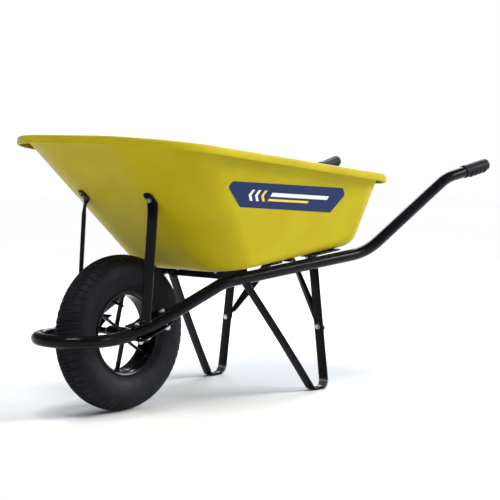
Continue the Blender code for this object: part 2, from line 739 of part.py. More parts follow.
# ---------------------------------------------------------------- wheel
def lying(part, centre=(0, 0, 0)):
    """Turns a piece made about Z so that its axis runs along Y."""
    part.rotation_euler = (math.radians(-90), 0, 0)
    part.location = centre
    return part


def make_tyre(wheel):
    outer = [(TYRE_RADIUS, 0), (0.1985, 0.014), (0.194, 0.0275), (0.183, 0.040), (0.166, 0.0470),
             (0.147, 0.0472), (0.130, 0.0434), (0.1165, 0.0365), (0.1098, 0.0300)]
    inner = [(0.1905, 0), (0.186, 0.0255), (0.168, 0.0412), (0.142, 0.0418), (0.121, 0.0325),
             (0.110, 0.0215), (0.1028, 0.0195), (0.1028, 0.0270)]
    profile = mirrored_profile(outer)[::-1] + mirrored_profile(inner)
    return lying(turned_part("tyre", profile, "rubber", wheel, steps=WHEEL_STEPS, closed=True))


def make_rim(wheel):
    outer = [(0.0993, 0), (0.0993, 0.0150), (0.1022, 0.0178), (0.1022, 0.0272), (0.1036, 0.0290),
             (0.1091, 0.0300), (0.1091, 0.0322)]
    inner = [(RIM_WELL_RADIUS, 0), (RIM_WELL_RADIUS, 0.0160), (0.1004, 0.0188), (0.1004, 0.0286),
             (0.1028, 0.0309), (0.1072, 0.0322)]
    profile = mirrored_profile(outer)[::-1] + mirrored_profile(inner)
    return lying(turned_part("rim", profile, "black_paint", wheel, steps=WHEEL_STEPS, closed=True))


def make_inner_tube(wheel):
    """An inflated tube whose one opening is the hole for its valve."""
    count = 10
    profile = [(0.150 + 0.0395 * math.cos(a), 0.0385 * math.sin(a))
               for a in [-math.tau * k / count for k in range(count)]]
    tube = lying(turned_part("inner_tube", profile, "rubber", wheel, steps=20, closed=True))
    wall = tube.modifiers.new("wall", "SOLIDIFY")
    wall.thickness = 0.002
    wall.offset = -1
    return tube


def wheel_point(angle, radius, y=0.0):
    return Vector((radius * math.cos(angle), y, radius * math.sin(angle)))


def make_wheel_centre(wheel):
    """The hub with its spokes welded on: every second spoke leaves the hub on the other side."""
    profile = [(HUB_RADIUS, HUB_HALF), (HUB_RADIUS, -HUB_HALF), (0.0113, -HUB_HALF), (0.0113, HUB_HALF)]
    hub = lying(turned_part("wheel_centre", profile, "black_paint", wheel, steps=24, closed=True))
    for k in range(SPOKE_COUNT):
        angle = SPOKE_START + math.tau * k / SPOKE_COUNT
        side = -1 if k % 2 == 0 else 1
        root_point = wheel_point(angle, HUB_RADIUS - 0.0022, side * SPOKE_HUB_OFFSET)
        tip = wheel_point(angle, RIM_WELL_RADIUS - 0.0026, side * 0.002)
        stations = [(point, (0, 1, 0), SPOKE_WIDTH, SPOKE_SHEET) for point in (root_point, tip)]
        mesh = bar_mesh(f"spoke_{k}", stations, 2)
        spoke = new_cutter(f"spoke_{k}", mesh, wheel)
        boolean(hub, spoke, "UNION")
    return hub


def make_bushes(wheel):
    for word, side in SIDES:
        profile = [(0.0108, 0.016), (0.0108, HUB_HALF + GAP), (0.0140, HUB_HALF + GAP), (0.0140, HUB_HALF + 0.003),
                   (AXLE_RADIUS + GAP, HUB_HALF + 0.003), (AXLE_RADIUS + GAP, 0.016)]
        if side > 0:
            profile = [(radius, -height) for radius, height in reversed(profile)]
        lying(turned_part(f"hub_bush_{word}", profile[::-1], "nylon", wheel, steps=16, closed=True))


def make_valve(wheel, rim, tube):
    """A bent valve stem that comes in through the rim's well and turns to the right, and its cap."""
    radius = 0.0038
    corner = wheel_point(VALVE_ANGLE, 0.0845)
    slant = wheel_point(VALVE_ANGLE, 0.0765, -0.024)
    path = rounded_path([(wheel_point(VALVE_ANGLE, 0.1085), 0), (corner, 0.008), (slant, 0)], math.radians(18))
    new_part("valve_stem", swept_tube("valve_stem", path, radius, 3), "rubber", wheel)
    along = (slant - corner).normalized()
    cap = swept_tube("valve_cap", [slant + along * GAP, slant + along * 0.009], 0.0048, 4)
    new_part("valve_cap", cap, "rubber", wheel)
    inward = wheel_point(VALVE_ANGLE, 1)
    drill(rim, "rim_valve", wheel_point(VALVE_ANGLE, RIM_WELL_RADIUS), inward, radius + 0.0004, 0.02)
    drill(tube, "tube_valve", wheel_point(VALVE_ANGLE, 0.1115), inward, 0.0025, 0.012)


def make_axle(root):
    centre = (0, 0, TYRE_RADIUS)
    profile = [(0, AXLE_HALF), (AXLE_RADIUS - 0.001, AXLE_HALF), (AXLE_RADIUS, AXLE_HALF - 0.001),
               (AXLE_RADIUS, -AXLE_HALF + 0.001), (AXLE_RADIUS - 0.001, -AXLE_HALF), (0, -AXLE_HALF)]
    lying(turned_part("axle", profile, "zinc", root, steps=20), centre)
    bush_face = HUB_HALF + 0.003 + GAP
    ear_face = BRACKET_EAR_Y - BRACKET_SHEET / 2 - GAP
    for word, side in SIDES:
        low, high = sorted((side * bush_face, side * ear_face))
        ring = [(0.0088, -low), (0.0088, -high), (AXLE_RADIUS + GAP, -high), (AXLE_RADIUS + GAP, -low)]
        lying(turned_part(f"axle_spacer_{word}", ring, "black_paint", root, steps=16, closed=True), centre)
        seat = (0, side * (BRACKET_EAR_Y + BRACKET_SHEET / 2), TYRE_RADIUS)
        hex_nut(f"axle_nut_{word}", root, seat, (0, side, 0), radius=AXLE_RADIUS, height=0.0080)


# ---------------------------------------------------------------- grips
def make_grip(root, name, side):
    """A rubber grip pushed over the tube's end, with a collar and a rounded end."""
    _, along = frame_at(TUBE_END - 0.001, side)
    length = (GRIP_END - GRIP_START - 0.001) / along.x  # the rounded end tilts up and reaches 1 mm further
    bore = TUBE_RADIUS + GAP
    tube_stop = (TUBE_END - GRIP_START) / along.x + 0.0006
    profile = [(0, length), (0.007, length - 0.0006), (0.012, length - 0.003), (0.0155, length - 0.0075),
               (0.0178, length - 0.014), (0.0178, 0.012), (0.0188, 0.010), (0.0188, 0.001), (0.0182, 0),
               (bore, 0), (bore, tube_stop), (0, tube_stop)]
    grip = turned_part(name, profile, "grip_rubber", root, steps=16)
    start, _ = frame_at(GRIP_START, side)
    aim(grip, start, along)
    return grip


# ---------------------------------------------------------------- assembly
def fit_tub_bolts(root, tub, cross, plate, brace, legs, struts):
    """Carriage bolts through the tub: two at the front, two through the legs' tabs, one through the brace."""
    up = floor_normal()
    spots = [("tub_bolt_front_right", 0.283, -0.070, CROSS_SHEET, (cross,)),
             ("tub_bolt_front_left", 0.283, 0.070, CROSS_SHEET, (cross,))]
    tab_x = LEG_REAR_X - 0.0185
    tab_y = leg_y(tab_x, floor_height(tab_x))
    below_plate = PLATE_DROP + LEG_THICKNESS
    for (word, side), leg in zip(SIDES, legs):
        spots.append((f"tub_bolt_rear_{word}", tab_x, side * tab_y, below_plate, (plate, leg)))
    spots.append(("brace_bolt", BRACE_TOP_X, 0, PLATE_DROP + 0.0052, (plate, brace)))
    for name, x, y, grip_length, clamped in spots:
        under = Vector((x, y, floor_height(x)))
        for piece in (tub, *clamped):
            drill(piece, f"{name}_{piece.name}", under, up, M8_HOLE, 0.050)
        dome_bolt(name, root, under + up * TUB_SHEET, up, grip_length + 0.012)
        hex_nut(name.replace("bolt", "nut"), root, under - up * (grip_length + 0.0008), -up)
    for (word, side), strut in zip(SIDES, struts):
        wall, _, _, outward = tub_corner_frame(STRUT_TAB_ANGLE, STRUT_TAB_LEVEL, side)
        for piece in (tub, strut):
            drill(piece, f"strut_bolt_{word}_{piece.name}", wall, outward, M8_HOLE, 0.020)
        dome_bolt(f"strut_bolt_{word}", root, wall - outward * (TUB_SHEET + 0.0012), -outward, 0.018)
        hex_nut(f"strut_nut_{word}", root, wall + outward * (0.0008 + STRUT_TAB + 0.0003), outward)


def fit_leg_bolts(root, cross, brace, legs):
    for (word, side), leg in zip(SIDES, legs):
        z = CROSS_BOTTOM + 0.0125
        seat = Vector((CROSS_FRONT_X, side * leg_y(LEG_FRONT_X, z), z))
        for piece in (cross, leg):
            drill(piece, f"leg_front_{word}_{piece.name}", seat, (1, 0, 0), M8_HOLE, 0.030)
        hex_bolt(f"leg_bolt_front_{word}", root, seat, (-1, 0, 0), 0.019)
        behind = LEG_FRONT_X + LEG_THICKNESS / 2
        hex_nut(f"leg_nut_front_{word}", root, (behind + 0.0002, seat.y, z), (1, 0, 0))

        axis = Vector((1, 0, -LEG_LEAN)).normalized()
        point = Vector((leg_rear_x(LEG_BOLT_Z), side * leg_y(LEG_REAR_X, LEG_BOLT_Z), LEG_BOLT_Z))
        for piece in (brace, leg):
            drill(piece, f"leg_brace_{word}_{piece.name}", point, axis, M8_HOLE, 0.040)
        hex_bolt(f"leg_bolt_rear_{word}", root, point - axis * (LEG_THICKNESS / 2 + GAP), -axis, 0.021)
        hex_nut(f"leg_nut_rear_{word}", root, point + axis * (LEG_THICKNESS / 2 + 0.0056), axis)


def build():
    root = new_empty("barrow_origin", (ORIGIN_SHIFT, 0, 0))
    wheel = new_empty("wheel_axis", (0, 0, TYRE_RADIUS), root)
    frame = make_frame_tube(root)
    tub = make_tub(root)
    cross = make_front_cross_member(root)
    for name, x, length in STRAPS:
        tube, _ = frame_at(x + length / 2, -1)
        room = floor_height(x + length / 2) - tube.z - TUBE_RADIUS * 1.004
        make_strap(root, name, x, length, room - 3 * GAP)
    plate = make_strap(root, "rear_cross_plate", REAR_PLATE_X, REAR_PLATE_LENGTH, REAR_PLATE_SHEET)
    legs, struts = [], []
    for word, side in SIDES:
        legs.append(make_leg(root, f"leg_{word}", side))
        struts.append(make_strut(root, f"strut_{word}", side))
        bracket = make_axle_bracket(root, f"axle_bracket_{word}", side)
        fit_bracket_bolts(root, frame, struts[-1], bracket, word, side)
        make_grip(root, f"grip_{word}", side)
        make_label(root, f"label_{word}", side)
    brace = make_leg_brace(root)
    fit_tub_bolts(root, tub, cross, plate, brace, legs, struts)
    fit_leg_bolts(root, cross, brace, legs)
    make_axle(root)
    make_tyre(wheel)
    rim = make_rim(wheel)
    make_wheel_centre(wheel)
    make_bushes(wheel)
    make_valve(wheel, rim, make_inner_tube(wheel))


clear_scene()
PARTS = new_collection("wheelbarrow", bpy.context.scene.collection)
CUTTERS = new_collection("cutters", bpy.context.scene.collection, hidden=True)
build()
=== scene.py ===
# Looks of a builder's wheelbarrow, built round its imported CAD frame. Shapes are worked out in the
# barrow's own coordinates: X from the wheel's axle to the grips, Y to the left of the person pushing,
# Z up from the ground.

import json
import math

import bmesh
import bpy
from mathutils import Matrix, Vector
from mathutils.bvhtree import BVHTree


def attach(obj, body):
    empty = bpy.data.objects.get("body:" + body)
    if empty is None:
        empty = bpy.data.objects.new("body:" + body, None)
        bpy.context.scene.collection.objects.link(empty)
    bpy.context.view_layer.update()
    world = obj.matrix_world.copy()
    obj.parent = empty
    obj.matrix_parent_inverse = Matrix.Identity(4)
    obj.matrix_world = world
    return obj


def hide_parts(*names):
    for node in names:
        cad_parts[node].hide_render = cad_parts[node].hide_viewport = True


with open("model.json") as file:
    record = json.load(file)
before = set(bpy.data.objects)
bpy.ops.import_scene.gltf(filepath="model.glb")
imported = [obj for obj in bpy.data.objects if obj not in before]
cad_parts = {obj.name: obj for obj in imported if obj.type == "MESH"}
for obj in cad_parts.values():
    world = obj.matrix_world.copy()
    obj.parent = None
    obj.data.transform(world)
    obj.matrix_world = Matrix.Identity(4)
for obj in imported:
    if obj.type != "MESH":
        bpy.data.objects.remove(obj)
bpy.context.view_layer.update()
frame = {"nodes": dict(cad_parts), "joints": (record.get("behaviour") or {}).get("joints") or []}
AXLE = Vector(frame["joints"][0]["pos_m"])
TO_FRAME = Vector((AXLE.x, 0, 0))
SIDES = (("right", -1), ("left", 1))
GAP = 0.0003

# ---------------------------------------------------------------- dimensions, in metres
TYRE_RADIUS = AXLE.z
TUBE_RADIUS = 0.016
TUBE_WALL = 0.0018
TUBE_HALF_SPACING = 0.120  # at the axle
TUBE_SPREAD = 0.1355  # sideways per metre towards the grips
HOOP_FRONT = -0.2435
HOOP_HEIGHT = 0.206
HOOP_BEND_RADIUS = 0.0985
GRIP_START = 1.121
GRIP_END = 1.2235
TUBE_END = 1.2145
FRAME_BENDS = ((-0.065, 0.2005, 0.45), (0.232, 0.318, 0.15), (0.7348, 0.3622, 0.234), (1.051, 0.555, 0.15))
FRAME_END_HEIGHT = 0.5875

TUB_FLOOR = dict(front=0.197, rear=0.749, half_front=0.197, half_rear=0.199, z_front=0.341, z_rear=0.383,
                 r_front=0.109, r_rear=0.084)
TUB_RIM = dict(front=-0.155, rear=0.776, half_front=0.310, half_rear=0.286, z_front=0.705, z_rear=0.571,
               r_front=0.212, r_rear=0.112)
TUB_SHEET = 0.0015
TUB_FLOOR_FILLET = 0.036
# The rolled edge of the tub as (outward, up) from the top of its wall, down to the hem that curls back in
LIP = ((-0.0011, -0.0068), (0.0006, -0.0025), (0.0040, -0.0005), (0.0090, 0.0), (0.0135, -0.0002),
       (0.0170, -0.0014), (0.0190, -0.0045), (0.0198, -0.0100), (0.0200, -0.0160), (0.0196, -0.0178),
       (0.0184, -0.0187), (0.0170, -0.0183), (0.0163, -0.0170))

LEG_WIDTH = 0.030
LEG_THICKNESS = 0.005
FOOT_X = 0.5516
FOOT_Y = 0.194
FOOT_HALF_LENGTH = 0.0271
FOOT_BEND_RADIUS = 0.020
LEG_FRONT_X = 0.3285
LEG_FRONT_Y = 0.1285
LEG_REAR_X = 0.589
LEG_REAR_Y = 0.151
LEG_BOLT_Z = 0.166
LEG_TOP_Z = 0.335
CROSS_FRONT_X = 0.3215
CROSS_BOTTOM = 0.3115
PLATE_DROP = 0.0048  # the rear plate's underside, below the tub's floor
BRACE_TOP_X = 0.637
BRACE_TOP_HALF = 0.018

STRUT_TAB_ANGLE = math.radians(9.8)
STRUT_TAB_LEVEL = 0.572
STRUT_ACROSS = (0.736, 0.677, 0)
STRUT_BODY_TOP = (0.0005, 0.127, 0.500)
STRUT_KNEE = (0.0030, 0.1260, 0.523)
STRUT_FOOT_X = -0.023
STRUT_FOOT_OUT = 0.008
STRUT_PLATE = 0.004
STRUT_TAB = 0.004
BRACKET_BOLT_X = (-0.0435, 0.038)
BRACKET_EAR_Y = 0.096
BRACKET_SHEET = 0.004
AXLE_RADIUS = 0.006
AXLE_HALF = 0.1085
HUB_RADIUS = 0.015
HUB_HALF = 0.036
SPOKE_COUNT = 6
SPOKE_WIDTH = 0.015
SPOKE_SHEET = 0.005
SPOKE_START = math.radians(21.7)
SPOKE_HUB_OFFSET = 0.014
RIM_WELL_RADIUS = 0.0975
VALVE_ANGLE = math.radians(104)
M8_RADIUS = 0.004
HEX_RADIUS = 0.0075
NUT_HEIGHT = 0.0065

LABEL_OUTLINE = ((0.137, 0.588), (0.124, 0.575), (0.184, 0.520), (0.550, 0.484), (0.590, 0.529), (0.573, 0.549))
LABEL_CORNER = 0.008
LABEL_LIFT = 0.0004
LABEL_SHEET = 0.0004
PRINT_LIFT = 0.0008  # the printed bands stand this far off the tub's skin
PRINT_SHEET = 0.00012


# ---------------------------------------------------------------- materials
class Finish:
    """A procedural material round one Principled shader."""

    def __init__(self, name, **values):
        self.material = bpy.data.materials.new(name)
        self.material.use_nodes = True
        self.nodes = self.material.node_tree.nodes
        self.links = self.material.node_tree.links
        self.shader = self.nodes["Principled BSDF"]
        for socket, value in values.items():
            self.shader.inputs[socket.replace("_", " ")].default_value = value
        self.place = self.nodes.new("ShaderNodeTexCoord").outputs["Object"]

    def noise(self, scale, detail=4.0, roughness=0.55, stretch=None):
        node = self.nodes.new("ShaderNodeTexNoise")
        node.inputs["Scale"].default_value = scale
        node.inputs["Detail"].default_value = detail
        node.inputs["Roughness"].default_value = roughness
        source = self.place
        if stretch:
            mapping = self.nodes.new("ShaderNodeMapping")
            mapping.inputs["Scale"].default_value = stretch
            self.links.new(source, mapping.inputs["Vector"])
            source = mapping.outputs["Vector"]
        self.links.new(source, node.inputs["Vector"])
        return node.outputs["Fac"]

    def ramp(self, source, *stops):
        node = self.nodes.new("ShaderNodeValToRGB")
        elements = node.color_ramp.elements
        for index, (position, colour) in enumerate(stops):
            element = elements[index] if index < 2 else elements.new(position)
            element.position = position
            element.color = (colour, colour, colour, 1) if isinstance(colour, float) else (*colour, 1)
        self.links.new(source, node.inputs["Fac"])
        return node.outputs["Color"]

    def mix(self, factor, first, second):
        node = self.nodes.new("ShaderNodeMix")
        node.data_type = "RGBA"
        sockets = (node.inputs["Factor"], node.inputs[6], node.inputs[7])
        for socket, value in zip(sockets, (factor, first, second)):
            if isinstance(value, bpy.types.NodeSocket):
                self.links.new(value, socket)
            else:
                socket.default_value = value if isinstance(value, float) else (*value, 1)
        return node.outputs[2]

    def times(self, first, second):
        node = self.nodes.new("ShaderNodeMath")
        node.operation = "MULTIPLY"
        self.links.new(first, node.inputs[0])
        self.links.new(second, node.inputs[1])
        return node.outputs[0]

    def edges(self, low, high):
        """1 on sharp outer edges, 0 elsewhere."""
        return self.ramp(self.nodes.new("ShaderNodeNewGeometry").outputs["Pointiness"], (low, 0.0), (high, 1.0))

    def along_axis(self, letter, *stops):
        """A value that changes along one axis of the piece."""
        split = self.nodes.new("ShaderNodeSeparateXYZ")
        self.links.new(self.place, split.inputs[0])
        return self.ramp(split.outputs[letter], *stops)

    def feed(self, socket, source):
        self.links.new(source, self.shader.inputs[socket])

    def bump(self, *layers):
        previous = None
        for source, strength, distance in layers:
            node = self.nodes.new("ShaderNodeBump")
            node.inputs["Strength"].default_value = strength
            node.inputs["Distance"].default_value = distance
            self.links.new(source, node.inputs["Height"])
            if previous:
                self.links.new(previous, node.inputs["Normal"])
            previous = node.outputs["Normal"]
        self.links.new(previous, self.shader.inputs["Normal"])


def paint(name, main, shade, chip, roughness, gloss, orange_peel, edge, foot_highlight_wear=False):
    """Sprayed paint: an uneven tone, fine orange peel and chipped edges; on the legs, a painted highlight drawn as a
    patch rubbed through to bare steel.
    """
    finish = Finish(name, Specular_IOR_Level=gloss)
    broad = finish.noise(7.0, 3.0)
    grime = finish.ramp(finish.noise(38.0, 6.0, 0.65), (0.52, 0.0), (0.72, 1.0))
    tone = finish.mix(finish.ramp(broad, (0.35, 0.0), (0.70, 1.0)), main, shade)
    tone = finish.mix(finish.times(grime, finish.ramp(broad, (0.3, 0.0), (0.8, 0.35))), tone, shade)
    speckle = finish.ramp(finish.noise(150.0, 5.0, 0.7), (0.54, 0.0), (0.60, 1.0))
    chips_and_foot_highlight = finish.times(finish.edges(*edge), speckle)
    # On the legs, a patch on each rear branch just above the foot's bend is a painted highlight, drawn as paint
    # rubbed through to shiny steel
    if foot_highlight_wear:
        foot_highlight_breakup = finish.ramp(finish.noise(160.0, 5.0, 0.6), (0.36, 0.0), (0.46, 1.0))
        low = finish.along_axis("Z", (0.020, 1.0), (0.024, 0.0))
        behind = finish.along_axis("X", (FOOT_X + 0.010, 0.0), (FOOT_X + 0.016, 1.0))
        foot = finish.times(finish.times(low, behind), foot_highlight_breakup)
        chips_and_foot_highlight = finish.mix(foot, chips_and_foot_highlight, (1.0, 1.0, 1.0))
    finish.feed("Base Color", finish.mix(chips_and_foot_highlight, tone, chip))
    finish.feed("Metallic", finish.ramp(chips_and_foot_highlight, (0.0, 0.0), (1.0, 0.85)))
    scratches = finish.ramp(finish.noise(60.0, 6.0, 0.7, stretch=(1.0, 0.15, 2.5)),
                            (0.35, roughness - 0.06), (0.75, roughness + 0.14))
    finish.feed("Roughness", scratches)
    finish.bump((finish.noise(420.0, 2.0), orange_peel, 0.0004), (chips_and_foot_highlight, 0.25, 0.0003))
    return finish.material


def rubber(name, main, dust, roughness):
    """Moulded rubber with a fine grain and pale dust in its hollows."""
    finish = Finish(name, Specular_IOR_Level=0.09)
    powder = finish.ramp(finish.noise(24.0, 6.0, 0.7), (0.45, 0.0), (0.80, 0.55))
    worn = finish.edges(0.50, 0.58)
    tone = finish.mix(powder, main, dust)
    finish.feed("Base Color", finish.mix(finish.ramp(worn, (0.0, 0.0), (1.0, 0.35)), tone, dust))
    finish.feed("Roughness", finish.ramp(finish.noise(45.0, 5.0), (0.3, roughness - 0.08), (0.75, roughness + 0.10)))
    finish.bump((finish.noise(900.0, 3.0, 0.6), 0.30, 0.0003), (finish.noise(120.0, 4.0), 0.12, 0.0005))
    return finish.material


def metal(name, main, tarnish, roughness):
    """Bare or plated metal with tarnish spots and fine rubbing marks."""
    finish = Finish(name, Metallic=1.0)
    spots = finish.ramp(finish.noise(110.0, 6.0, 0.7), (0.50, 0.0), (0.70, 1.0))
    finish.feed("Base Color", finish.mix(spots, main, tarnish))
    finish.feed("Roughness", finish.ramp(finish.noise(260.0, 4.0), (0.3, roughness - 0.08), (0.7, roughness + 0.15)))
    finish.bump((finish.noise(700.0, 3.0), 0.15, 0.0002))
    return finish.material


def plastic(name, main, shade, roughness):
    """Smooth plastic or printed vinyl, slightly scuffed."""
    finish = Finish(name, Specular_IOR_Level=0.12)
    scuffs = finish.ramp(finish.noise(70.0, 6.0, 0.7), (0.45, 0.0), (0.80, 0.6))
    finish.feed("Base Color", finish.mix(scuffs, main, shade))
    finish.feed("Roughness", finish.ramp(finish.noise(50.0, 5.0), (0.3, roughness - 0.08), (0.75, roughness + 0.12)))
    finish.bump((finish.noise(500.0, 2.0), 0.06, 0.0002))
    return finish.material


STEEL = (0.30, 0.29, 0.28)
FRAME_BLACK = (0.0030, 0.0032, 0.0046)
DUSTY_BLACK = (0.0065, 0.0065, 0.0075)
YELLOW = paint("yellow powder coat", (0.46, 0.378, 0.010), (0.41, 0.330, 0.008), (0.20, 0.17, 0.08),
               0.40, 0.06, 0.08, (0.53, 0.62))
BLACK = paint("black frame paint", FRAME_BLACK, DUSTY_BLACK, STEEL, 0.16, 0.11, 0.03, (0.55, 0.66))
# The legs' paint carries a painted highlight just above each foot, drawn as bare steel
LEG_BLACK = paint("black leg paint", FRAME_BLACK, DUSTY_BLACK, STEEL, 0.20, 0.10, 0.03, (0.55, 0.66),
                  foot_highlight_wear=True)
WHEEL_BLACK = paint("black wheel paint", (0.0028, 0.0030, 0.0046), (0.0055, 0.0055, 0.0070), STEEL,
                    0.14, 0.14, 0.03, (0.56, 0.68))
TYRE_RUBBER = rubber("tyre rubber", (0.0068, 0.0074, 0.0100), (0.022, 0.024, 0.028), 0.55)
GRIP_RUBBER = rubber("grip rubber", (0.0060, 0.0062, 0.0075), (0.016, 0.016, 0.018), 0.48)
ZINC = metal("zinc plate", (0.62, 0.64, 0.67), (0.36, 0.35, 0.32), 0.28)
NYLON = plastic("natural nylon", (0.66, 0.63, 0.56), (0.50, 0.47, 0.40), 0.45)
NAVY = plastic("navy vinyl", (0.008, 0.021, 0.092), (0.012, 0.028, 0.100), 0.36)
WHITE_VINYL = plastic("white vinyl", (0.80, 0.80, 0.78), (0.66, 0.66, 0.62), 0.36)
GOLD_VINYL = plastic("golden vinyl", (0.78, 0.55, 0.05), (0.66, 0.45, 0.04), 0.36)


# ---------------------------------------------------------------- piece helpers
def polar(reach, angle, z=0.0):
    return Vector((reach * math.cos(angle), reach * math.sin(angle), z))


def fractions(steps):
    """The angles that divide a turn into equal steps."""
    return [math.tau * k / steps for k in range(steps)]


def direction_at(points, i):
    """A path's direction at one of its points."""
    return (points[min(i + 1, len(points) - 1)] - points[max(i - 1, 0)]).normalized()


def sided(values, side):
    """A right-hand point with its Y put on this side."""
    return Vector((values[0], side * values[1], values[2]))


def piece_of(name, mesh, material, nodes=(), body="root", sharp=32, turn=None):
    """Places a mesh and ties it to the frame; a mesh on the wheel is made round the wheel's centre."""
    piece = bpy.data.objects.new(name, mesh)
    bpy.context.scene.collection.objects.link(piece)
    if not mesh.materials:
        mesh.materials.append(material)
    mesh.shade_smooth()
    mesh.set_sharp_from_angle(angle=math.radians(sharp))
    piece.location = AXLE if body == "wheel" else TO_FRAME
    if turn:
        piece.matrix_world = Matrix.Translation(piece.location) @ turn
    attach(piece, body)
    if nodes:
        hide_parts(*nodes)
    return piece


def mesh_from(bm, name):
    bmesh.ops.recalc_face_normals(bm, faces=bm.faces)
    mesh = bpy.data.meshes.new(name)
    bm.to_mesh(mesh)
    bm.free()
    return mesh


def baked(piece):
    """Puts a piece's modifiers into its mesh."""
    bpy.context.view_layer.update()
    evaluated = piece.evaluated_get(bpy.context.evaluated_depsgraph_get())
    mesh = bpy.data.meshes.new_from_object(evaluated)
    piece.modifiers.clear()
    piece.data = mesh
    return piece


def united(name, meshes):
    """One closed mesh from several that overlap."""
    holders = []
    for mesh in meshes:
        holder = bpy.data.objects.new(name, mesh)
        bpy.context.scene.collection.objects.link(holder)
        holders.append(holder)
    for other in holders[1:]:
        modifier = holders[0].modifiers.new("join", "BOOLEAN")
        modifier.operation = "UNION"
        modifier.solver = "EXACT"
        modifier.object = other
    result = baked(holders[0]).data
    for holder in holders:
        bpy.data.objects.remove(holder, do_unlink=True)
    return result


def ring_mesh(name, rings, closed_ends=True, closed_loop=False):
    """A skin through rings of points, each ring with the same count."""
    count = len(rings[0])
    points = [point for ring in rings for point in ring]
    faces = []
    for r in range(len(rings) - (0 if closed_loop else 1)):
        here = r * count
        there = (r + 1) % len(rings) * count
        for i in range(count):
            j = (i + 1) % count
            faces.append((here + i, here + j, there + j, there + i))
    if closed_ends and not closed_loop:
        faces.append(tuple(reversed(range(count))))
        faces.append(tuple(range((len(rings) - 1) * count, len(rings) * count)))
    bm = bmesh.new()
    verts = [bm.verts.new(point) for point in points]
    for face in faces:
        bm.faces.new([verts[i] for i in face])
    return mesh_from(bm, name)


def turned(name, profile, steps, closed=True):
    """A profile of (radius, height) points turned about Z; an open profile starts and ends on the axis."""
    rings = []
    points = list(profile) if closed else list(profile[1:-1])
    for angle in fractions(steps):
        rings.append([polar(r, angle, z) for r, z in points])
    if closed:
        return ring_mesh(name, rings, closed_loop=True)
    bm = bmesh.new()
    rows = [[bm.verts.new(point) for point in ring] for ring in rings]
    ends = [bm.verts.new((0, 0, profile[0][1])), bm.verts.new((0, 0, profile[-1][1]))]
    for row, following in zip(rows, rows[1:] + rows[:1]):
        for i in range(len(row) - 1):
            bm.faces.new((row[i], row[i + 1], following[i + 1], following[i]))
        bm.faces.new((row[0], following[0], ends[0]))
        bm.faces.new((following[-1], row[-1], ends[1]))
    return mesh_from(bm, name)


def spline(points, steps):
    """A smooth curve (Catmull-Rom) through points given as tuples of numbers."""
    padded = [points[0], *points, points[-1]]
    result = []
    for a, b, c, d in zip(padded, padded[1:], padded[2:], padded[3:]):
        for k in range(steps):
            t = k / steps
            result.append(tuple(
                0.5 * (2 * q + (r - p) * t + (2 * p - 5 * q + 4 * r - s) * t * t
                       + (3 * q - p - 3 * r + s) * t ** 3)
                for p, q, r, s in zip(a, b, c, d)))
    return result + [tuple(points[-1])]


def rounded_path(corners, step=math.radians(3)):
    """Points along a path of straight runs whose corners, (point, bend radius), are rounded by arcs."""
    points = [Vector(corners[0][0])]
    for (before, _), (corner, radius), (after, _) in zip(corners, corners[1:], corners[2:]):
        corner = Vector(corner)
        back = (Vector(before) - corner).normalized()
        onward = (Vector(after) - corner).normalized()
        turn = math.pi - back.angle(onward)
        reach = radius * math.tan(turn / 2)
        centre = corner + (back + onward).normalized() * (radius / math.cos(turn / 2))
        start = corner + back * reach - centre
        end = corner + onward * reach - centre
        count = max(2, math.ceil(turn / step))
        for i in range(count + 1):
            share = i / count
            blend = (start * math.sin((1 - share) * turn) + end * math.sin(share * turn)) / math.sin(turn)
            points.append(centre + blend)
    points.append(Vector(corners[-1][0]))
    return points


def rounded_section(points, radius, steps=3):
    """A closed outline of (a, b) points whose corners are rounded as far as their sides allow."""
    result = []
    count = len(points)
    for i, corner in enumerate(points):
        corner = Vector(corner)
        before = Vector(points[i - 1]) - corner
        after = Vector(points[(i + 1) % count]) - corner
        reach = min(radius, before.length * 0.45, after.length * 0.45)
        first = corner + before.normalized() * reach
        last = corner + after.normalized() * reach
        for k in range(steps + 1):
            t = k / steps
            result.append(tuple(first * (1 - t) ** 2 + corner * 2 * t * (1 - t) + last * t * t))
    return result


def flat_oval(width, thickness, steps=8):
    """Points of a section with fully rounded edges, as (across, through) pairs."""
    radius = thickness / 2
    straight = max(width / 2 - radius, 0)
    section = []
    for side in (1, -1):
        for i in range(steps + 1):
            angle = math.pi * (i / steps - side / 2)
            section.append((side * straight + radius * math.cos(angle), radius * math.sin(angle)))
    return section


def bar_rings(stations, steps=8, section=None):
    """Rings along stations of (point, across, width, thickness), square to the path."""
    points = [Vector(station[0]) for station in stations]
    rings = []
    for i, (_, across, width, thickness) in enumerate(stations):
        along = direction_at(points, i)
        across = (Vector(across) - along * along.dot(Vector(across))).normalized()
        through = along.cross(across)
        outline = section(width, thickness) if section else flat_oval(width, thickness, steps)
        rings.append([points[i] + across * a + through * t for a, t in outline])
    return rings


def smooth_stations(stations, steps):
    """More stations between the given ones, along a smooth curve."""
    rows = [(*station[0], *station[1], station[2], station[3]) for station in stations]
    return [(row[0:3], row[3:6], row[6], row[7]) for row in spline(rows, steps)]


def bar_section(width, thickness):
    """A flat bar with slightly rounded edges."""
    a, t = width / 2, thickness / 2
    return rounded_section([(a, -t), (a, t), (-a, t), (-a, -t)], 0.0013, 3)


# ---------------------------------------------------------------- frame tube
def half_spacing(x):
    return TUBE_HALF_SPACING + TUBE_SPREAD * x


def frame_path(side):
    """The frame tube's centre line from the middle of the front hoop to one grip."""
    corners = [((HOOP_FRONT, 0, HOOP_HEIGHT), 0)]
    corners += [((HOOP_FRONT, side * half_spacing(HOOP_FRONT), HOOP_HEIGHT), HOOP_BEND_RADIUS)]
    corners += [((x, side * half_spacing(x), z), radius) for x, z, radius in FRAME_BENDS]
    corners += [((TUBE_END, side * half_spacing(TUBE_END), FRAME_END_HEIGHT), 0)]
    return rounded_path(corners)


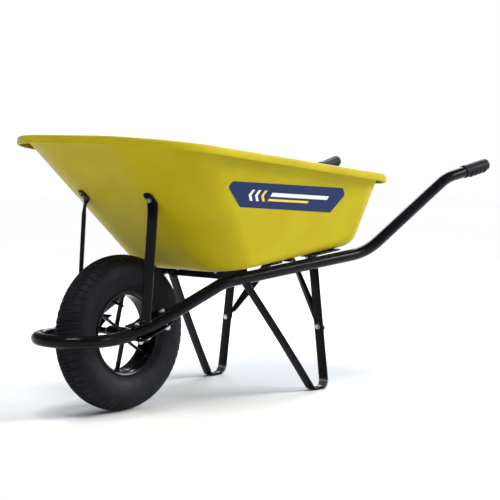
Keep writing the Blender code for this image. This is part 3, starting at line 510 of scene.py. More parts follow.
def frame_at(x, side):
    """The centre line's point at this X, and its direction there."""
    points = [p for p in frame_path(side) if p.x > HOOP_FRONT + 0.09]
    for first, second in zip(points, points[1:]):
        if first.x <= x <= second.x:
            return first.lerp(second, (x - first.x) / (second.x - first.x)), (second - first).normalized()
    raise ValueError(f"the frame tube has no point at {x}")


def tube_normal(along):
    """The direction square to the tube, up, in its own vertical plane."""
    return (Vector((0, 0, 1)) - along * along.z).normalized()


def tube_rings(points, radius, steps):
    """Round rings along a path, turned as little as possible from one to the next."""
    rings = []
    across = None
    for i, point in enumerate(points):
        along = direction_at(points, i)
        if across is None:
            across = along.orthogonal()
        across = (across - along * along.dot(across)).normalized()
        through = along.cross(across)
        rings.append([point + (across * math.cos(angle) + through * math.sin(angle)) * radius
                      for angle in fractions(steps)])
    return rings


def make_frame_tube():
    right = frame_path(-1)
    left = frame_path(1)
    path = list(reversed(right)) + left[1:]
    outer = tube_rings(path, TUBE_RADIUS, 40)
    inner = tube_rings(path, TUBE_RADIUS - TUBE_WALL, 40)
    mesh = ring_mesh("frame_tube_skin", outer + list(reversed(inner)), closed_loop=True)
    piece_of("frame_tube_skin", mesh, BLACK, ["frame_tube"], sharp=50)


# ---------------------------------------------------------------- tub
def tub_outline(front, rear, half_front, half_rear, z_front, z_rear, r_front, r_rear,
                corner=26, side=28, end=14):
    """A level of the tub: a trapezoid with rounded corners, whose height changes evenly along X."""
    corners = [(front, -half_front, r_front), (rear, -half_rear, r_rear),
               (rear, half_rear, r_rear), (front, half_front, r_front)]
    arcs = []
    for i, (x, y, radius) in enumerate(corners):
        point = Vector((x, y))
        before = (Vector(corners[i - 1][:2]) - point).normalized()
        after = (Vector(corners[(i + 1) % 4][:2]) - point).normalized()
        turn = math.pi - before.angle(after)
        centre = point + (before + after).normalized() * (radius / math.cos(turn / 2))
        start = point + before * radius * math.tan(turn / 2) - centre
        arcs.append([centre + Matrix.Rotation(turn * k / corner, 2) @ start for k in range(corner + 1)])
    points = []
    for i, arc in enumerate(arcs):
        points += arc
        count = side if i % 2 == 0 else end
        points += [arc[-1].lerp(arcs[(i + 1) % 4][0], k / count) for k in range(1, count)]
    slope = (z_rear - z_front) / (rear - front)
    return [Vector((p.x, p.y, z_front + slope * (p.x - front))) for p in points]


def grown(level, outward, up):
    """The same level moved outward all round, and up."""
    changed = dict(level)
    changed["front"] -= outward
    changed["rear"] += outward
    for key in ("half_front", "half_rear", "r_front", "r_rear"):
        changed[key] += outward
    slope = (level["z_rear"] - level["z_front"]) / (level["rear"] - level["front"])
    changed["z_front"] += up - slope * outward
    changed["z_rear"] += up + slope * outward
    return changed


def tub_rings():
    """Rings of the tub's outer skin, from the floor's flat part to the hem of its rolled edge."""
    floor = tub_outline(**TUB_FLOOR)
    rim = tub_outline(**TUB_RIM)
    inset = tub_outline(**grown(TUB_FLOOR, -TUB_FLOOR_FILLET, 0))
    rise = [low + (high - low).normalized() * TUB_FLOOR_FILLET for low, high in zip(floor, rim)]
    rings = []
    for share in (k / 9 for k in range(10)):
        rings.append([a * (1 - share) ** 2 + b * 2 * share * (1 - share) + c * share ** 2
                      for a, b, c in zip(inset, floor, rise)])
    for share in (k / 28 for k in range(1, 28)):
        rings.append([a.lerp(b, share) for a, b in zip(rise, rim)])
    rings += [tub_outline(**grown(TUB_RIM, outward, up)) for outward, up in spline(LIP, 3)]
    return rings


def floor_height(x):
    """Height of the underside of the tub's floor."""
    slope = (TUB_FLOOR["z_rear"] - TUB_FLOOR["z_front"]) / (TUB_FLOOR["rear"] - TUB_FLOOR["front"])
    return TUB_FLOOR["z_front"] + slope * (x - TUB_FLOOR["front"])


def floor_normal():
    run = 0.1
    return Vector((floor_height(0) - floor_height(run), 0, run)).normalized()


def make_tub():
    """The tub's sheet; returns a search tree of its outer skin for the labels."""
    rings = tub_rings()
    bm = bmesh.new()
    rows = [[bm.verts.new(point) for point in ring] for ring in rings]
    for row, following in zip(rows, rows[1:]):
        for i in range(len(row)):
            j = (i + 1) % len(row)
            bm.faces.new((row[i], following[i], following[j], row[j]))
    # The flat part of the floor, as shrinking rings round its middle
    middle = sum(rings[0], Vector()) / len(rings[0])
    before = rows[0]
    for share in (0.8, 0.6, 0.4, 0.2):
        inner = [bm.verts.new(middle.lerp(point, share)) for point in rings[0]]
        for i in range(len(inner)):
            j = (i + 1) % len(inner)
            bm.faces.new((inner[i], before[i], before[j], inner[j]))
        before = inner
    centre = bm.verts.new(middle)
    for i in range(len(before)):
        bm.faces.new((centre, before[i], before[(i + 1) % len(before)]))
    bm.normal_update()
    skin = BVHTree.FromBMesh(bm)
    mesh = bpy.data.meshes.new("tub_sheet")
    bm.to_mesh(mesh)
    bm.free()
    tub = piece_of("tub_sheet", mesh, YELLOW, ["tub"], sharp=60)
    sheet = tub.modifiers.new("sheet", "SOLIDIFY")
    sheet.thickness = TUB_SHEET
    sheet.offset = 1
    baked(tub)
    return skin


def tub_corner_point(angle, level, side):
    """A point on a front corner of the skin, at an angle from straight ahead and a share of the height."""
    mix = {key: TUB_FLOOR[key] * (1 - level) + TUB_RIM[key] * level for key in TUB_RIM}
    x = mix["front"] + mix["r_front"] * (1 - math.cos(angle))
    y = mix["half_front"] - mix["r_front"] * (1 - math.sin(angle))
    slope = (mix["z_rear"] - mix["z_front"]) / (mix["rear"] - mix["front"])
    return Vector((x, side * y, mix["z_front"] + slope * (x - mix["front"])))


def tub_corner_frame(angle, level, side):
    """The point, the direction up the wall, the direction round the corner and the outward normal."""
    small = 0.01
    point = tub_corner_point(angle, level, side)
    up = (tub_corner_point(angle, level + small, side) - point).normalized()
    around = (tub_corner_point(angle + small, level, side) - point).normalized()
    outward = around.cross(up).normalized()
    if outward.x > 0:
        outward = -outward
    return point, up, around, outward


# ---------------------------------------------------------------- labels
def wall_patch(skin, name, lines, side, lift, sheet, material, nodes=(), closed=False, centre=False):
    """A thin sheet on the tub's side wall, through lines of (x, z) points with the same count."""
    points, faces = [], []
    for line in lines:
        for x, z in line:
            hit, normal, _, _ = skin.ray_cast(Vector((x, side, z)), Vector((0, -side, 0)))
            outward = normal if normal.y * side > 0 else -normal
            points.append((hit + outward * lift, hit + outward * (lift + sheet)))
    width = len(lines[0])
    across = width if closed else width - 1
    for r in range(len(lines) - 1):
        for i in range(across):
            j = (i + 1) % width
            faces.append((r * width + i, r * width + j, (r + 1) * width + j, (r + 1) * width + i))
    last = (len(lines) - 1) * width
    if centre:
        faces.append(tuple(range(last, last + width)))
    border = [(i, (i + 1) % width) for i in range(across)]
    if not centre:
        border += [(last + j, last + i) for i, j in border]
    if not closed:
        border += [(r * width, (r + 1) * width) for r in range(len(lines) - 1)]
        border += [(r * width + width - 1, (r + 1) * width + width - 1) for r in range(len(lines) - 1)]
    bm = bmesh.new()
    low = [bm.verts.new(pair[0]) for pair in points]
    high = [bm.verts.new(pair[1]) for pair in points]
    for face in faces:
        bm.faces.new([low[i] for i in reversed(face)])
        bm.faces.new([high[i] for i in face])
    for i, j in border:
        bm.faces.new((low[i], low[j], high[j], high[i]))
    piece_of(name, mesh_from(bm, name), material, nodes, sharp=40)


def label_line(u, v):
    """A point on the label, u back along the tub and v up from the label's middle line."""
    return (u, 0.5517 - 0.0934 * (u - 0.184) + v)


def label_band(left, right, low, high, lean=0.0, count=24):
    """Two lines of points for a slanted band."""
    lines = []
    for v in (low, (low + high) / 2, high):
        lines.append([label_line(left + (right - left) * k / count + lean * v, v) for k in range(count + 1)])
    return lines


def make_label(skin, word, side):
    """A plain navy label with two bands and three chevrons, and no lettering."""
    corners = [((x, 0, z), LABEL_CORNER) for x, z in LABEL_OUTLINE]
    path = rounded_path([corners[-1], *corners, corners[0]], step=math.radians(12))[1:-1]
    outline = []
    for first, second in zip(path, path[1:] + path[:1]):
        count = max(1, round((second - first).length / 0.012))
        outline += [first.lerp(second, k / count) for k in range(count)]
    middle = sum(outline, Vector()) / len(outline)
    rings = [[(p.x, p.z) for p in (middle.lerp(point, share) for point in outline)]
             for share in (1, 0.97, 0.85, 0.7, 0.55, 0.4, 0.25, 0.1)]
    wall_patch(skin, f"label_{word}_sheet", rings, side, LABEL_LIFT, LABEL_SHEET, NAVY,
               [f"label_{word}"], closed=True, centre=True)
    bands = (("long", 0.290, 0.520, -0.0005, 0.0095, WHITE_VINYL),
             ("short", 0.290, 0.450, -0.0125, -0.0065, GOLD_VINYL))
    for tag, left, right, low, high, material in bands:
        lines = label_band(left, right, low, high, 0.5)
        wall_patch(skin, f"label_{word}_band_{tag}", lines, side, PRINT_LIFT, PRINT_SHEET, material)
    for k in range(3):
        left = 0.206 + 0.024 * k
        material = GOLD_VINYL if k == 2 else WHITE_VINYL
        lines = [[label_line(left + shift + 0.010 * abs(v) / 0.014, v)
                  for v in (-0.014, -0.007, 0.0, 0.007, 0.014)] for shift in (0.0, 0.005, 0.010)]
        wall_patch(skin, f"label_{word}_chevron_{k}", lines, side, PRINT_LIFT, PRINT_SHEET, material)


# ---------------------------------------------------------------- legs, brace and cross members
def leg_y(x, z):
    """How far out the middle of a leg's bar is, which leans outward towards the foot."""
    share = (x - LEG_FRONT_X) / (LEG_REAR_X - LEG_FRONT_X)
    top = LEG_FRONT_Y + (LEG_REAR_Y - LEG_FRONT_Y) * share
    return FOOT_Y + (top - FOOT_Y) * z / LEG_TOP_Z


def leg_path():
    half = LEG_THICKNESS / 2
    rear_top = floor_height(LEG_REAR_X) - PLATE_DROP - half
    tab = floor_normal().x / floor_normal().z
    return rounded_path([
        ((LEG_FRONT_X, 0, 0.337), 0),
        ((LEG_FRONT_X, 0, 0.309), 0.012),
        ((FOOT_X - FOOT_HALF_LENGTH, 0, half), FOOT_BEND_RADIUS),
        ((FOOT_X + FOOT_HALF_LENGTH, 0, half), FOOT_BEND_RADIUS),
        ((LEG_REAR_X, 0, rear_top), 0.008),
        ((LEG_REAR_X - 0.034, 0, rear_top + tab * 0.034), 0),
    ], step=math.radians(6))


def make_leg(word, side):
    """A V-shaped leg bent from flat bar with softly rounded edges."""
    points = leg_path()
    dense = []
    for first, second in zip(points, points[1:]):
        count = max(1, round((second - first).length / 0.02))
        dense += [first.lerp(second, k / count) for k in range(count)]
    points = dense + [points[-1]]
    a, t = LEG_WIDTH / 2, LEG_THICKNESS / 2
    outline = rounded_section([(-a, t), (a, t), (a, -t), (-a, -t)], 0.0012, 3)
    rings = []
    for i, point in enumerate(points):
        along = direction_at(points, i)
        out = Vector((-along.z, 0, along.x))
        if 0 < i < len(points) - 1:
            out /= math.cos((points[i + 1] - point).angle(point - points[i - 1]) / 2)
        middle = Vector((point.x, side * leg_y(point.x, point.z), point.z))
        rings.append([middle + out * t + Vector((0, a, 0)) for a, t in outline])
    piece_of(f"leg_bar_{word}", ring_mesh(f"leg_bar_{word}", rings), LEG_BLACK, [f"leg_{word}"])


LEG_LEAN = (LEG_REAR_X - FOOT_X - FOOT_HALF_LENGTH) / floor_height(LEG_REAR_X)


def leg_rear_x(z):
    return FOOT_X + FOOT_HALF_LENGTH + LEG_LEAN * z


def brace_stations():
    """The brace's right half: flattened to a lug behind the leg and again under the rear plate."""
    top_z = floor_height(BRACE_TOP_X) - PLATE_DROP - 0.0032
    lug = Vector((leg_rear_x(LEG_BOLT_Z) + LEG_THICKNESS / 2 + 0.0025 + GAP, -leg_y(LEG_REAR_X, LEG_BOLT_Z),
                  LEG_BOLT_Z))
    top = Vector((BRACE_TOP_X, -BRACE_TOP_HALF, top_z))
    along = (top - lug).normalized()
    face = Vector((LEG_LEAN * along.z, along.y, along.z)).normalized()
    flat = face.cross(Vector((1, 0, 0))).normalized()
    grown_at = lug + face * 0.034 + Vector((0.0055, 0, 0))
    near_top = top - along * 0.040
    return [
        (lug - face * 0.0150, flat, 0.012, 0.004), (lug - face * 0.0135, flat, 0.018, 0.004),
        (lug - face * 0.0090, flat, 0.025, 0.004), (lug + face * 0.014, flat, 0.025, 0.004),
        (lug + face * 0.024 + Vector((0.0025, 0, 0)), flat, 0.0245, 0.0075), (grown_at, flat, 0.023, 0.011),
        (grown_at.lerp(near_top, 0.5), (0.3, flat.y, flat.z), 0.023, 0.011),
        (near_top, (0.8, flat.y, flat.z), 0.023, 0.010),
        (top + Vector((0, 0, -0.0002)), (1, 0, 0), 0.024, 0.0048),
        (Vector((BRACE_TOP_X, -BRACE_TOP_HALF / 2, top_z)), (1, 0, 0), 0.024, 0.0048),
        (Vector((BRACE_TOP_X, 0, top_z)), (1, 0, 0), 0.024, 0.0048),
    ]


def make_brace():
    right = smooth_stations(brace_stations(), 5)
    left = [((p[0], -p[1], p[2]), (a[0], -a[1], -a[2]), w, t) for p, a, w, t in reversed(right[:-1])]
    rings = bar_rings([(tuple(p), tuple(a), w, t) for p, a, w, t in right + left])
    piece_of("leg_brace_tube", ring_mesh("leg_brace_tube", rings), BLACK, ["leg_brace"],
             sharp=50)


# ---------------------------------------------------------------- struts
def tube_strip(side, offset, from_x, to_x, count, width, thickness):
    """Stations of a strip that follows the tube at a distance above its centre."""
    stations = []
    for i in range(count):
        point, along = frame_at(from_x + (to_x - from_x) * i / (count - 1), side)
        sideways = along.cross(Vector((0, 0, 1))).normalized()
        stations.append((point + tube_normal(along) * offset, sideways, width, thickness))
    return stations


def make_strut(word, side):
    """A stay from the frame tube up to the tub: flat-oval tube, pressed tab, and a welded foot plate."""
    wall, up, around, outward = tub_corner_frame(STRUT_TAB_ANGLE, STRUT_TAB_LEVEL, side)
    tab = wall + outward * (STRUT_TAB / 2 + 0.0008)
    diagonal = sided(STRUT_ACROSS, side)
    foot_point, foot_along = frame_at(STRUT_FOOT_X, side)
    foot = foot_point + tube_normal(foot_along) * (TUBE_RADIUS + 0.0016) + Vector((0, side * STRUT_FOOT_OUT, 0))
    knee = sided(STRUT_KNEE, side)
    top = sided(STRUT_BODY_TOP, side)
    stations = [
        (foot, diagonal, 0.026, 0.011), (foot.lerp(top, 0.5), diagonal, 0.026, 0.011),
        (top - (top - foot).normalized() * 0.02, diagonal, 0.026, 0.011), (top, diagonal, 0.026, 0.0105),
        (knee, diagonal.lerp(around, 0.35), 0.027, 0.0075), (tab - up * 0.012, around, 0.029, STRUT_TAB),
        (tab, around, 0.029, STRUT_TAB), (tab + up * 0.010, around, 0.0275, STRUT_TAB),
        (tab + up * 0.0155, around, 0.022, STRUT_TAB), (tab + up * 0.018, around, 0.013, STRUT_TAB),
    ]
    body = ring_mesh(f"strut_{word}", bar_rings(smooth_stations(stations, 6), 8))
    strip = tube_strip(side, TUBE_RADIUS + GAP + STRUT_PLATE / 2, BRACKET_BOLT_X[0] - 0.016,
                       BRACKET_BOLT_X[1] + 0.016, 13, 0.044, STRUT_PLATE)
    # The plate reaches further in than out
    strip = [(point - Vector((0, side * 0.007, 0)), *rest) for point, *rest in strip]
    plate = ring_mesh(f"foot_{word}", bar_rings(strip, section=bar_section))
    bead = []
    across = diagonal.normalized()
    axis = (top - foot).normalized()
    through = axis.cross(across).normalized()
    for rise, spread in ((0.0030, 0.0030), (0.0050, 0.0026), (0.0068, 0.0014), (0.0080, 0.0)):
        ring = []
        for a, t in flat_oval(0.0258 + 2 * spread, 0.0108 + 2 * spread, 8):
            ring.append(foot + axis * rise + across * a + through * t)
        bead.append(ring)
    mesh = united(f"strut_{word}", [body, plate, ring_mesh(f"bead_{word}", bead)])
    piece_of(f"strut_stay_{word}", mesh, BLACK, [f"strut_{word}"], sharp=40)


# ---------------------------------------------------------------- fasteners
def hexagon_radius(angle, corner_radius):
    """Distance from the middle to a hexagon's side in this direction."""
    return corner_radius * math.cos(math.pi / 6) / math.cos((angle % (math.pi / 3)) - math.pi / 6)


def hex_rings(corner_radius, low, high, both=False, steps=36):
    """Rings of a hexagon with chamfered corners at the top, and at the bottom too if both is set."""
    flat = corner_radius * 0.90

    def level(z, limit, slope):
        ring = []
        for angle in fractions(steps):
            full = hexagon_radius(angle, corner_radius)
            ring.append(polar(min(full, limit), angle, z + slope * max(0, full - flat)))
        return ring

    rings = [level(low, corner_radius, 0.55 if both else 0.0), level(high, corner_radius, -0.55),
             level(high, flat, 0.0)]
    if both:
        rings.insert(0, level(low, flat, 0.0))
    return rings


def threaded_rings(radius, low, high, pitch=0.00125, steps=20):
    """Rings of a thread: the radius follows a helix."""
    rings = []
    levels = max(2, round((high - low) / (pitch / 4)))
    for i in range(levels + 1):
        z = low + (high - low) * i / levels
        ring = []
        for k in range(steps):
            turn = (z / pitch - k / steps) % 1
            depth = 0.09 * radius * abs(2 * turn - 1)
            edge = min(1.0, (z - low) / pitch, (high - z) / pitch)
            reach = radius * (0.90 + 0.10 * edge) - depth
            ring.append(polar(reach, math.tau * k / steps, z))
        rings.append(ring)
    return rings


def turn_to(point, axis):
    """The matrix that puts the origin on the point and Z along the axis."""
    return Matrix.Translation(point) @ Vector(axis).to_track_quat("Z", "Y").to_matrix().to_4x4()


def washer_mesh(name, outer, low, high):
    profile = rounded_section([(outer, low), (outer, high), (0.0043, high), (0.0043, low)], 0.0003, 2)
    return turned(name, profile, 36)


def bolt(name, seat, axis, length, node, radius=M8_RADIUS, material=ZINC):
    """A hexagon bolt with a washer; its head stands on seat along axis, and its thread runs the other way."""
    size = HEX_RADIUS * radius / M8_RADIUS
    head = ring_mesh(name, hex_rings(size, GAP + 0.0011, GAP + radius * 1.35))
    shank = ring_mesh(name, threaded_rings(radius, -length, GAP + 0.002))
    washer = washer_mesh(name, size * 1.02, GAP, GAP + 0.0012)
    mesh = united(name, [head, shank, washer])
    piece_of(f"{name}_turned", mesh, material, [node], turn=turn_to(seat, axis), sharp=30)


def carriage_bolt(name, seat, axis, length, node):
    """A low domed head on seat along axis, and a thread the other way."""
    dome = [(0, GAP + 0.0042)] + [(0.0095 * math.sin(t), GAP + 0.0042 - 0.0040 * (1 - math.cos(t)))
                                  for t in [math.radians(9 * k) for k in range(1, 10)]]
    head = turned(name, dome + [(0.0095, GAP), (0, GAP - 0.0002)], 40, closed=False)
    shank = ring_mesh(name, threaded_rings(M8_RADIUS, -length, GAP + 0.001))
    mesh = united(name, [head, shank])
    piece_of(f"{name}_turned", mesh, ZINC, [node], turn=turn_to(seat, axis), sharp=40)


def nut(name, seat, axis, node, radius=M8_RADIUS, height=NUT_HEIGHT):
    """A chamfered hexagon nut on seat, with a hole."""
    size = HEX_RADIUS * radius / M8_RADIUS
    outer = hex_rings(size, GAP, GAP + height, both=True)
    bore = radius + 0.0002
    steps = len(outer[0])
    chamfer = 0.0005
    levels = ((bore + chamfer, GAP + height), (bore, GAP + height - chamfer), (bore, GAP + chamfer),
              (bore + chamfer, GAP))
    hole = [[polar(reach, angle, z) for angle in fractions(steps)] for reach, z in levels]
    mesh = ring_mesh(name, outer + hole, closed_loop=True)
    piece_of(f"{name}_turned", mesh, ZINC, [node], turn=turn_to(seat, axis), sharp=30)


def fit_fasteners():
    up = floor_normal()
    for word, side in SIDES:
        for end, x in zip(("front", "rear"), BRACKET_BOLT_X):
            middle, along = frame_at(x, side)
            axis = tube_normal(along)
            top = middle + axis * (TUBE_RADIUS + GAP + STRUT_PLATE + 0.0004)
            bottom = middle - axis * (TUBE_RADIUS + GAP + 0.0004 + BRACKET_SHEET + 0.0006)
            bolt(f"clamp_bolt_{end}_{word}", top, axis, 0.052, f"bracket_bolt_{end}_{word}")
            nut(f"clamp_nut_{end}_{word}", bottom, -axis, f"bracket_nut_{end}_{word}")

        z = CROSS_BOTTOM + 0.0125
        seat = Vector((CROSS_FRONT_X, side * leg_y(LEG_FRONT_X, z), z))
        bolt(f"leg_front_bolt_{word}", seat, (-1, 0, 0), 0.019, f"leg_bolt_front_{word}", material=BLACK)
        nut(f"leg_front_nut_{word}", (LEG_FRONT_X + LEG_THICKNESS / 2 + 0.0002, seat.y, z), (1, 0, 0),
            f"leg_nut_front_{word}")
        axis = Vector((1, 0, -LEG_LEAN)).normalized()
        point = Vector((leg_rear_x(LEG_BOLT_Z), side * leg_y(LEG_REAR_X, LEG_BOLT_Z), LEG_BOLT_Z))
        bolt(f"leg_rear_bolt_{word}", point - axis * (LEG_THICKNESS / 2 + GAP), -axis, 0.021,
             f"leg_bolt_rear_{word}")
        nut(f"leg_rear_nut_{word}", point + axis * (LEG_THICKNESS / 2 + 0.0056), axis, f"leg_nut_rear_{word}")

        wall, _, _, outward = tub_corner_frame(STRUT_TAB_ANGLE, STRUT_TAB_LEVEL, side)
        carriage_bolt(f"stay_bolt_{word}", wall - outward * (TUB_SHEET + 0.0012), -outward, 0.018,
                      f"strut_bolt_{word}")
        nut(f"stay_nut_{word}", wall + outward * (0.0008 + STRUT_TAB + 0.0003), outward, f"strut_nut_{word}")

    tab_x = LEG_REAR_X - 0.0185
    tab_y = leg_y(tab_x, floor_height(tab_x))
    spots = (("tub_bolt_front_right", 0.283, -0.070, 0.004), ("tub_bolt_front_left", 0.283, 0.070, 0.004),
             ("tub_bolt_rear_right", tab_x, -tab_y, PLATE_DROP + LEG_THICKNESS),
             ("tub_bolt_rear_left", tab_x, tab_y, PLATE_DROP + LEG_THICKNESS),
             ("brace_bolt", BRACE_TOP_X, 0, PLATE_DROP + 0.0052))
    for name, x, y, clamped in spots:
        under = Vector((x, y, floor_height(x)))
        carriage_bolt(f"floor_{name}", under + up * TUB_SHEET, up, clamped + 0.012, name)
        nut_name = name.replace("bolt", "nut")
        nut(f"floor_{nut_name}", under - up * (clamped + 0.0008), -up, nut_name)


# ---------------------------------------------------------------- wheel
LYING = Matrix.Rotation(math.radians(-90), 4, "X")
TYRE_OUTER = ((0.200, 0), (0.1985, 0.014), (0.194, 0.0275), (0.183, 0.040), (0.166, 0.0470), (0.147, 0.0472),
              (0.130, 0.0434), (0.1165, 0.0365), (0.1098, 0.0300))
TYRE_INNER = ((0.1905, 0), (0.186, 0.0255), (0.168, 0.0412), (0.142, 0.0418), (0.121, 0.0325), (0.110, 0.0215),
              (0.1028, 0.0195), (0.1028, 0.0270))
TREAD_STEPS = 720
SHOULDER_GROOVES = 60
BLOCKS = 120


def groove(distance, half_width):
    """Depth of a groove, from 0 at its edge to 1 in its middle."""
    return max(0.0, min(1.0, 1.6 * (1 - abs(distance) / half_width)))


def wave(turns):
    """A zigzag between -1 and 1."""
    return 4 * abs(turns % 1 - 0.5) - 1


def tread_depth(turn, y):
    """How deep the tread is cut at this share of a turn and this distance from the middle."""
    out = abs(y)
    side = 1 if y > 0 else -1
    zigzag = 0.0013 * wave(BLOCKS * turn)
    depth = 0.0036 * groove(out - 0.0146 - zigzag, 0.0024)
    depth = max(depth, 0.0032 * groove(out - 0.0050 + zigzag, 0.0019))
    if out < 0.0150:
        row = 0 if out < 0.0050 else 0.5
        across = ((BLOCKS * turn + row + 0.12 * side * out / 0.005) % 1 - 0.5) / BLOCKS * math.tau * TYRE_RADIUS
        depth = max(depth, 0.0030 * groove(across, 0.0021))
    elif out < 0.0445:
        lean = 0.10 * (out - 0.015) / 0.03
        start = 0.0 if side < 0 else 0.5
        phase = (SHOULDER_GROOVES * (turn - side * lean / SHOULDER_GROOVES) + start) % 1 - 0.5
        across = phase / SHOULDER_GROOVES * math.tau * TYRE_RADIUS
        fade = min(1.0, (0.0445 - out) / 0.008)
        depth = max(depth, 0.0030 * fade * groove(across, 0.0025))
    return depth


def resampled(profile, spacings):
    """Points along a smooth profile of (radius, half width), spaced by (up to this half width, spacing)."""
    dense = spline(profile, 40)
    result = [dense[0]]
    for point in dense[1:]:
        spacing = next(space for limit, space in spacings if point[1] <= limit or limit is spacings[-1][0])
        if math.dist(point, result[-1]) >= spacing:
            result.append(point)
    if math.dist(result[-1], dense[-1]) > 0.0005:
        result.append(dense[-1])
    return result


def mirrored_profile(half):
    """A profile of (radius, half width) points from the middle outwards, made whole on both sides."""
    return [(radius, -width) for radius, width in reversed(half)] + [p for p in half if p[1] > 0]


def make_tyre():
    half = []
    for radius, width in resampled(TYRE_OUTER, ((0.0185, 0.00085), (0.0445, 0.0022), (1.0, 0.0030))):
        if radius < 0.17:
            # Two raised moulding lines round the sidewall, and one just above the bead
            for line, rise in ((0.1585, 0.0006), (0.1540, 0.0005), (0.1215, 0.0008)):
                width += rise * math.exp(-((radius - line) / 0.0016) ** 2)
        half.append((radius, width))
    outer = mirrored_profile(half)[::-1]
    inner = mirrored_profile(spline(TYRE_INNER, 2))
    rings = []
    for k in range(TREAD_STEPS):
        turn = k / TREAD_STEPS
        across, up = math.cos(math.tau * turn), math.sin(math.tau * turn)
        ring = []
        for radius, y in outer:
            if radius > 0.172:
                cut = tread_depth(turn, y)
                lean = min(1.0, max(0.0, (abs(y) - 0.014) / 0.030))
                radius -= cut * (1 - 0.6 * lean)
                y -= math.copysign(cut * 0.7 * lean, y)
            ring.append(Vector((radius * across, y, radius * up)))
        ring += [Vector((radius * across, y, radius * up)) for radius, y in inner]
        rings.append(ring)
    piece_of("tyre_tread", ring_mesh("tyre_tread", rings, closed_loop=True), TYRE_RUBBER,
             ["tyre"], "wheel", sharp=35)


def make_rim():
    outer = [(0.0993, 0), (0.0993, 0.0150), (0.1022, 0.0178), (0.1022, 0.0272), (0.1036, 0.0290),
             (0.1091, 0.0300), (0.1091, 0.0322)]
    inner = [(RIM_WELL_RADIUS, 0), (RIM_WELL_RADIUS, 0.0160), (0.1004, 0.0188), (0.1004, 0.0286),
             (0.1028, 0.0309), (0.1072, 0.0322)]
    profile = rounded_section(mirrored_profile(outer)[::-1] + mirrored_profile(inner), 0.0011, 4)
    piece_of("rim_rings", turned("rim_rings", profile, 160), WHEEL_BLACK, ["rim"], "wheel",
             turn=LYING, sharp=45)


def wheel_point(angle, radius, y=0.0):
    return Vector((radius * math.cos(angle), y, radius * math.sin(angle)))


def make_wheel_centre():
    """The hub with its spokes; each spoke swells at both ends, where it is welded on."""
    profile = rounded_section([(HUB_RADIUS, HUB_HALF), (HUB_RADIUS, -HUB_HALF), (0.0113, -HUB_HALF),
                               (0.0113, HUB_HALF)], 0.0009, 3)
    hub = turned("hub", profile, 64)
    hub.transform(LYING)
    meshes = [hub]
    for k in range(SPOKE_COUNT):
        angle = SPOKE_START + math.tau * k / SPOKE_COUNT
        side = -1 if k % 2 == 0 else 1
        root = wheel_point(angle, HUB_RADIUS - 0.0022, side * SPOKE_HUB_OFFSET)
        tip = wheel_point(angle, RIM_WELL_RADIUS + 0.0002, side * 0.002)
        length = (tip - root).length
        stations = []
        for distance, swell in ((0, 0.0030), (0.0022, 0.0030), (0.0040, 0.0022), (0.0052, 0.0006), (0.0058, 0),
                                (length * 0.35, 0), (length * 0.65, 0), (length - 0.0052, 0),
                                (length - 0.0044, 0.0007), (length - 0.0030, 0.0022), (length - 0.0012, 0.0030),
                                (length, 0.0030)):
            point = root.lerp(tip, distance / length)
            stations.append((point, (0, 1, 0), SPOKE_WIDTH + swell, SPOKE_SHEET + swell))
        meshes.append(ring_mesh(f"spoke_{k}", bar_rings(stations, 5)))
    piece_of("hub_and_spokes", united("hub_and_spokes", meshes), WHEEL_BLACK, ["wheel_centre"],
             "wheel", sharp=45)


def make_valve():
    radius = 0.0038
    corner = wheel_point(VALVE_ANGLE, 0.0845)
    slant = wheel_point(VALVE_ANGLE, 0.0765, -0.024)
    path = rounded_path([(wheel_point(VALVE_ANGLE, 0.1085), 0), (corner, 0.008), (slant, 0)], math.radians(6))
    stem = ring_mesh("valve_pipe", tube_rings(path, radius, 24))
    piece_of("valve_pipe", stem, TYRE_RUBBER, ["valve_stem"], "wheel", sharp=50)
    along = (slant - corner).normalized()
    profile = [(0, 0), (0.0046, 0.0), (0.0048, 0.0004), (0.0048, 0.0068), (0.0042, 0.0080), (0.0028, 0.0087),
               (0, 0.0087)]
    cap = turned("valve_lid", profile, 48, closed=False)
    for vert in cap.vertices:
        if 0.0005 < vert.co.z < 0.0070 and vert.co.xy.length > 0.0045:
            angle = math.atan2(vert.co.y, vert.co.x)
            vert.co.xy = vert.co.xy * (1 - 0.05 * (0.5 + 0.5 * math.cos(16 * angle)))
    piece_of("valve_lid", cap, TYRE_RUBBER, ["valve_cap"], "wheel",
             turn=turn_to(slant + along * GAP, along), sharp=40)


def make_axle():
    centre = Matrix.Translation((0, 0, TYRE_RADIUS))
    thread = 0.016
    ends = [threaded_rings(AXLE_RADIUS, AXLE_HALF - thread, AXLE_HALF, 0.00175, 28),
            threaded_rings(AXLE_RADIUS, -AXLE_HALF, thread - AXLE_HALF, 0.00175, 28)]
    bar = turned("axle_bar", [(0, AXLE_HALF - thread + 0.001), (AXLE_RADIUS, AXLE_HALF - thread + 0.001),
                              (AXLE_RADIUS, thread - AXLE_HALF - 0.001), (0, thread - AXLE_HALF - 0.001)], 28,
                 closed=False)
    mesh = united("axle_bar", [bar] + [ring_mesh("axle_end", rings) for rings in ends])
    piece_of("axle_bar", mesh, ZINC, ["axle"], turn=centre @ LYING, sharp=30)
    for word, side in SIDES:
        seat = Vector((0, side * (BRACKET_EAR_Y + BRACKET_SHEET / 2), TYRE_RADIUS))
        nut(f"axle_end_nut_{word}", seat, (0, side, 0), f"axle_nut_{word}", radius=AXLE_RADIUS, height=0.0080)


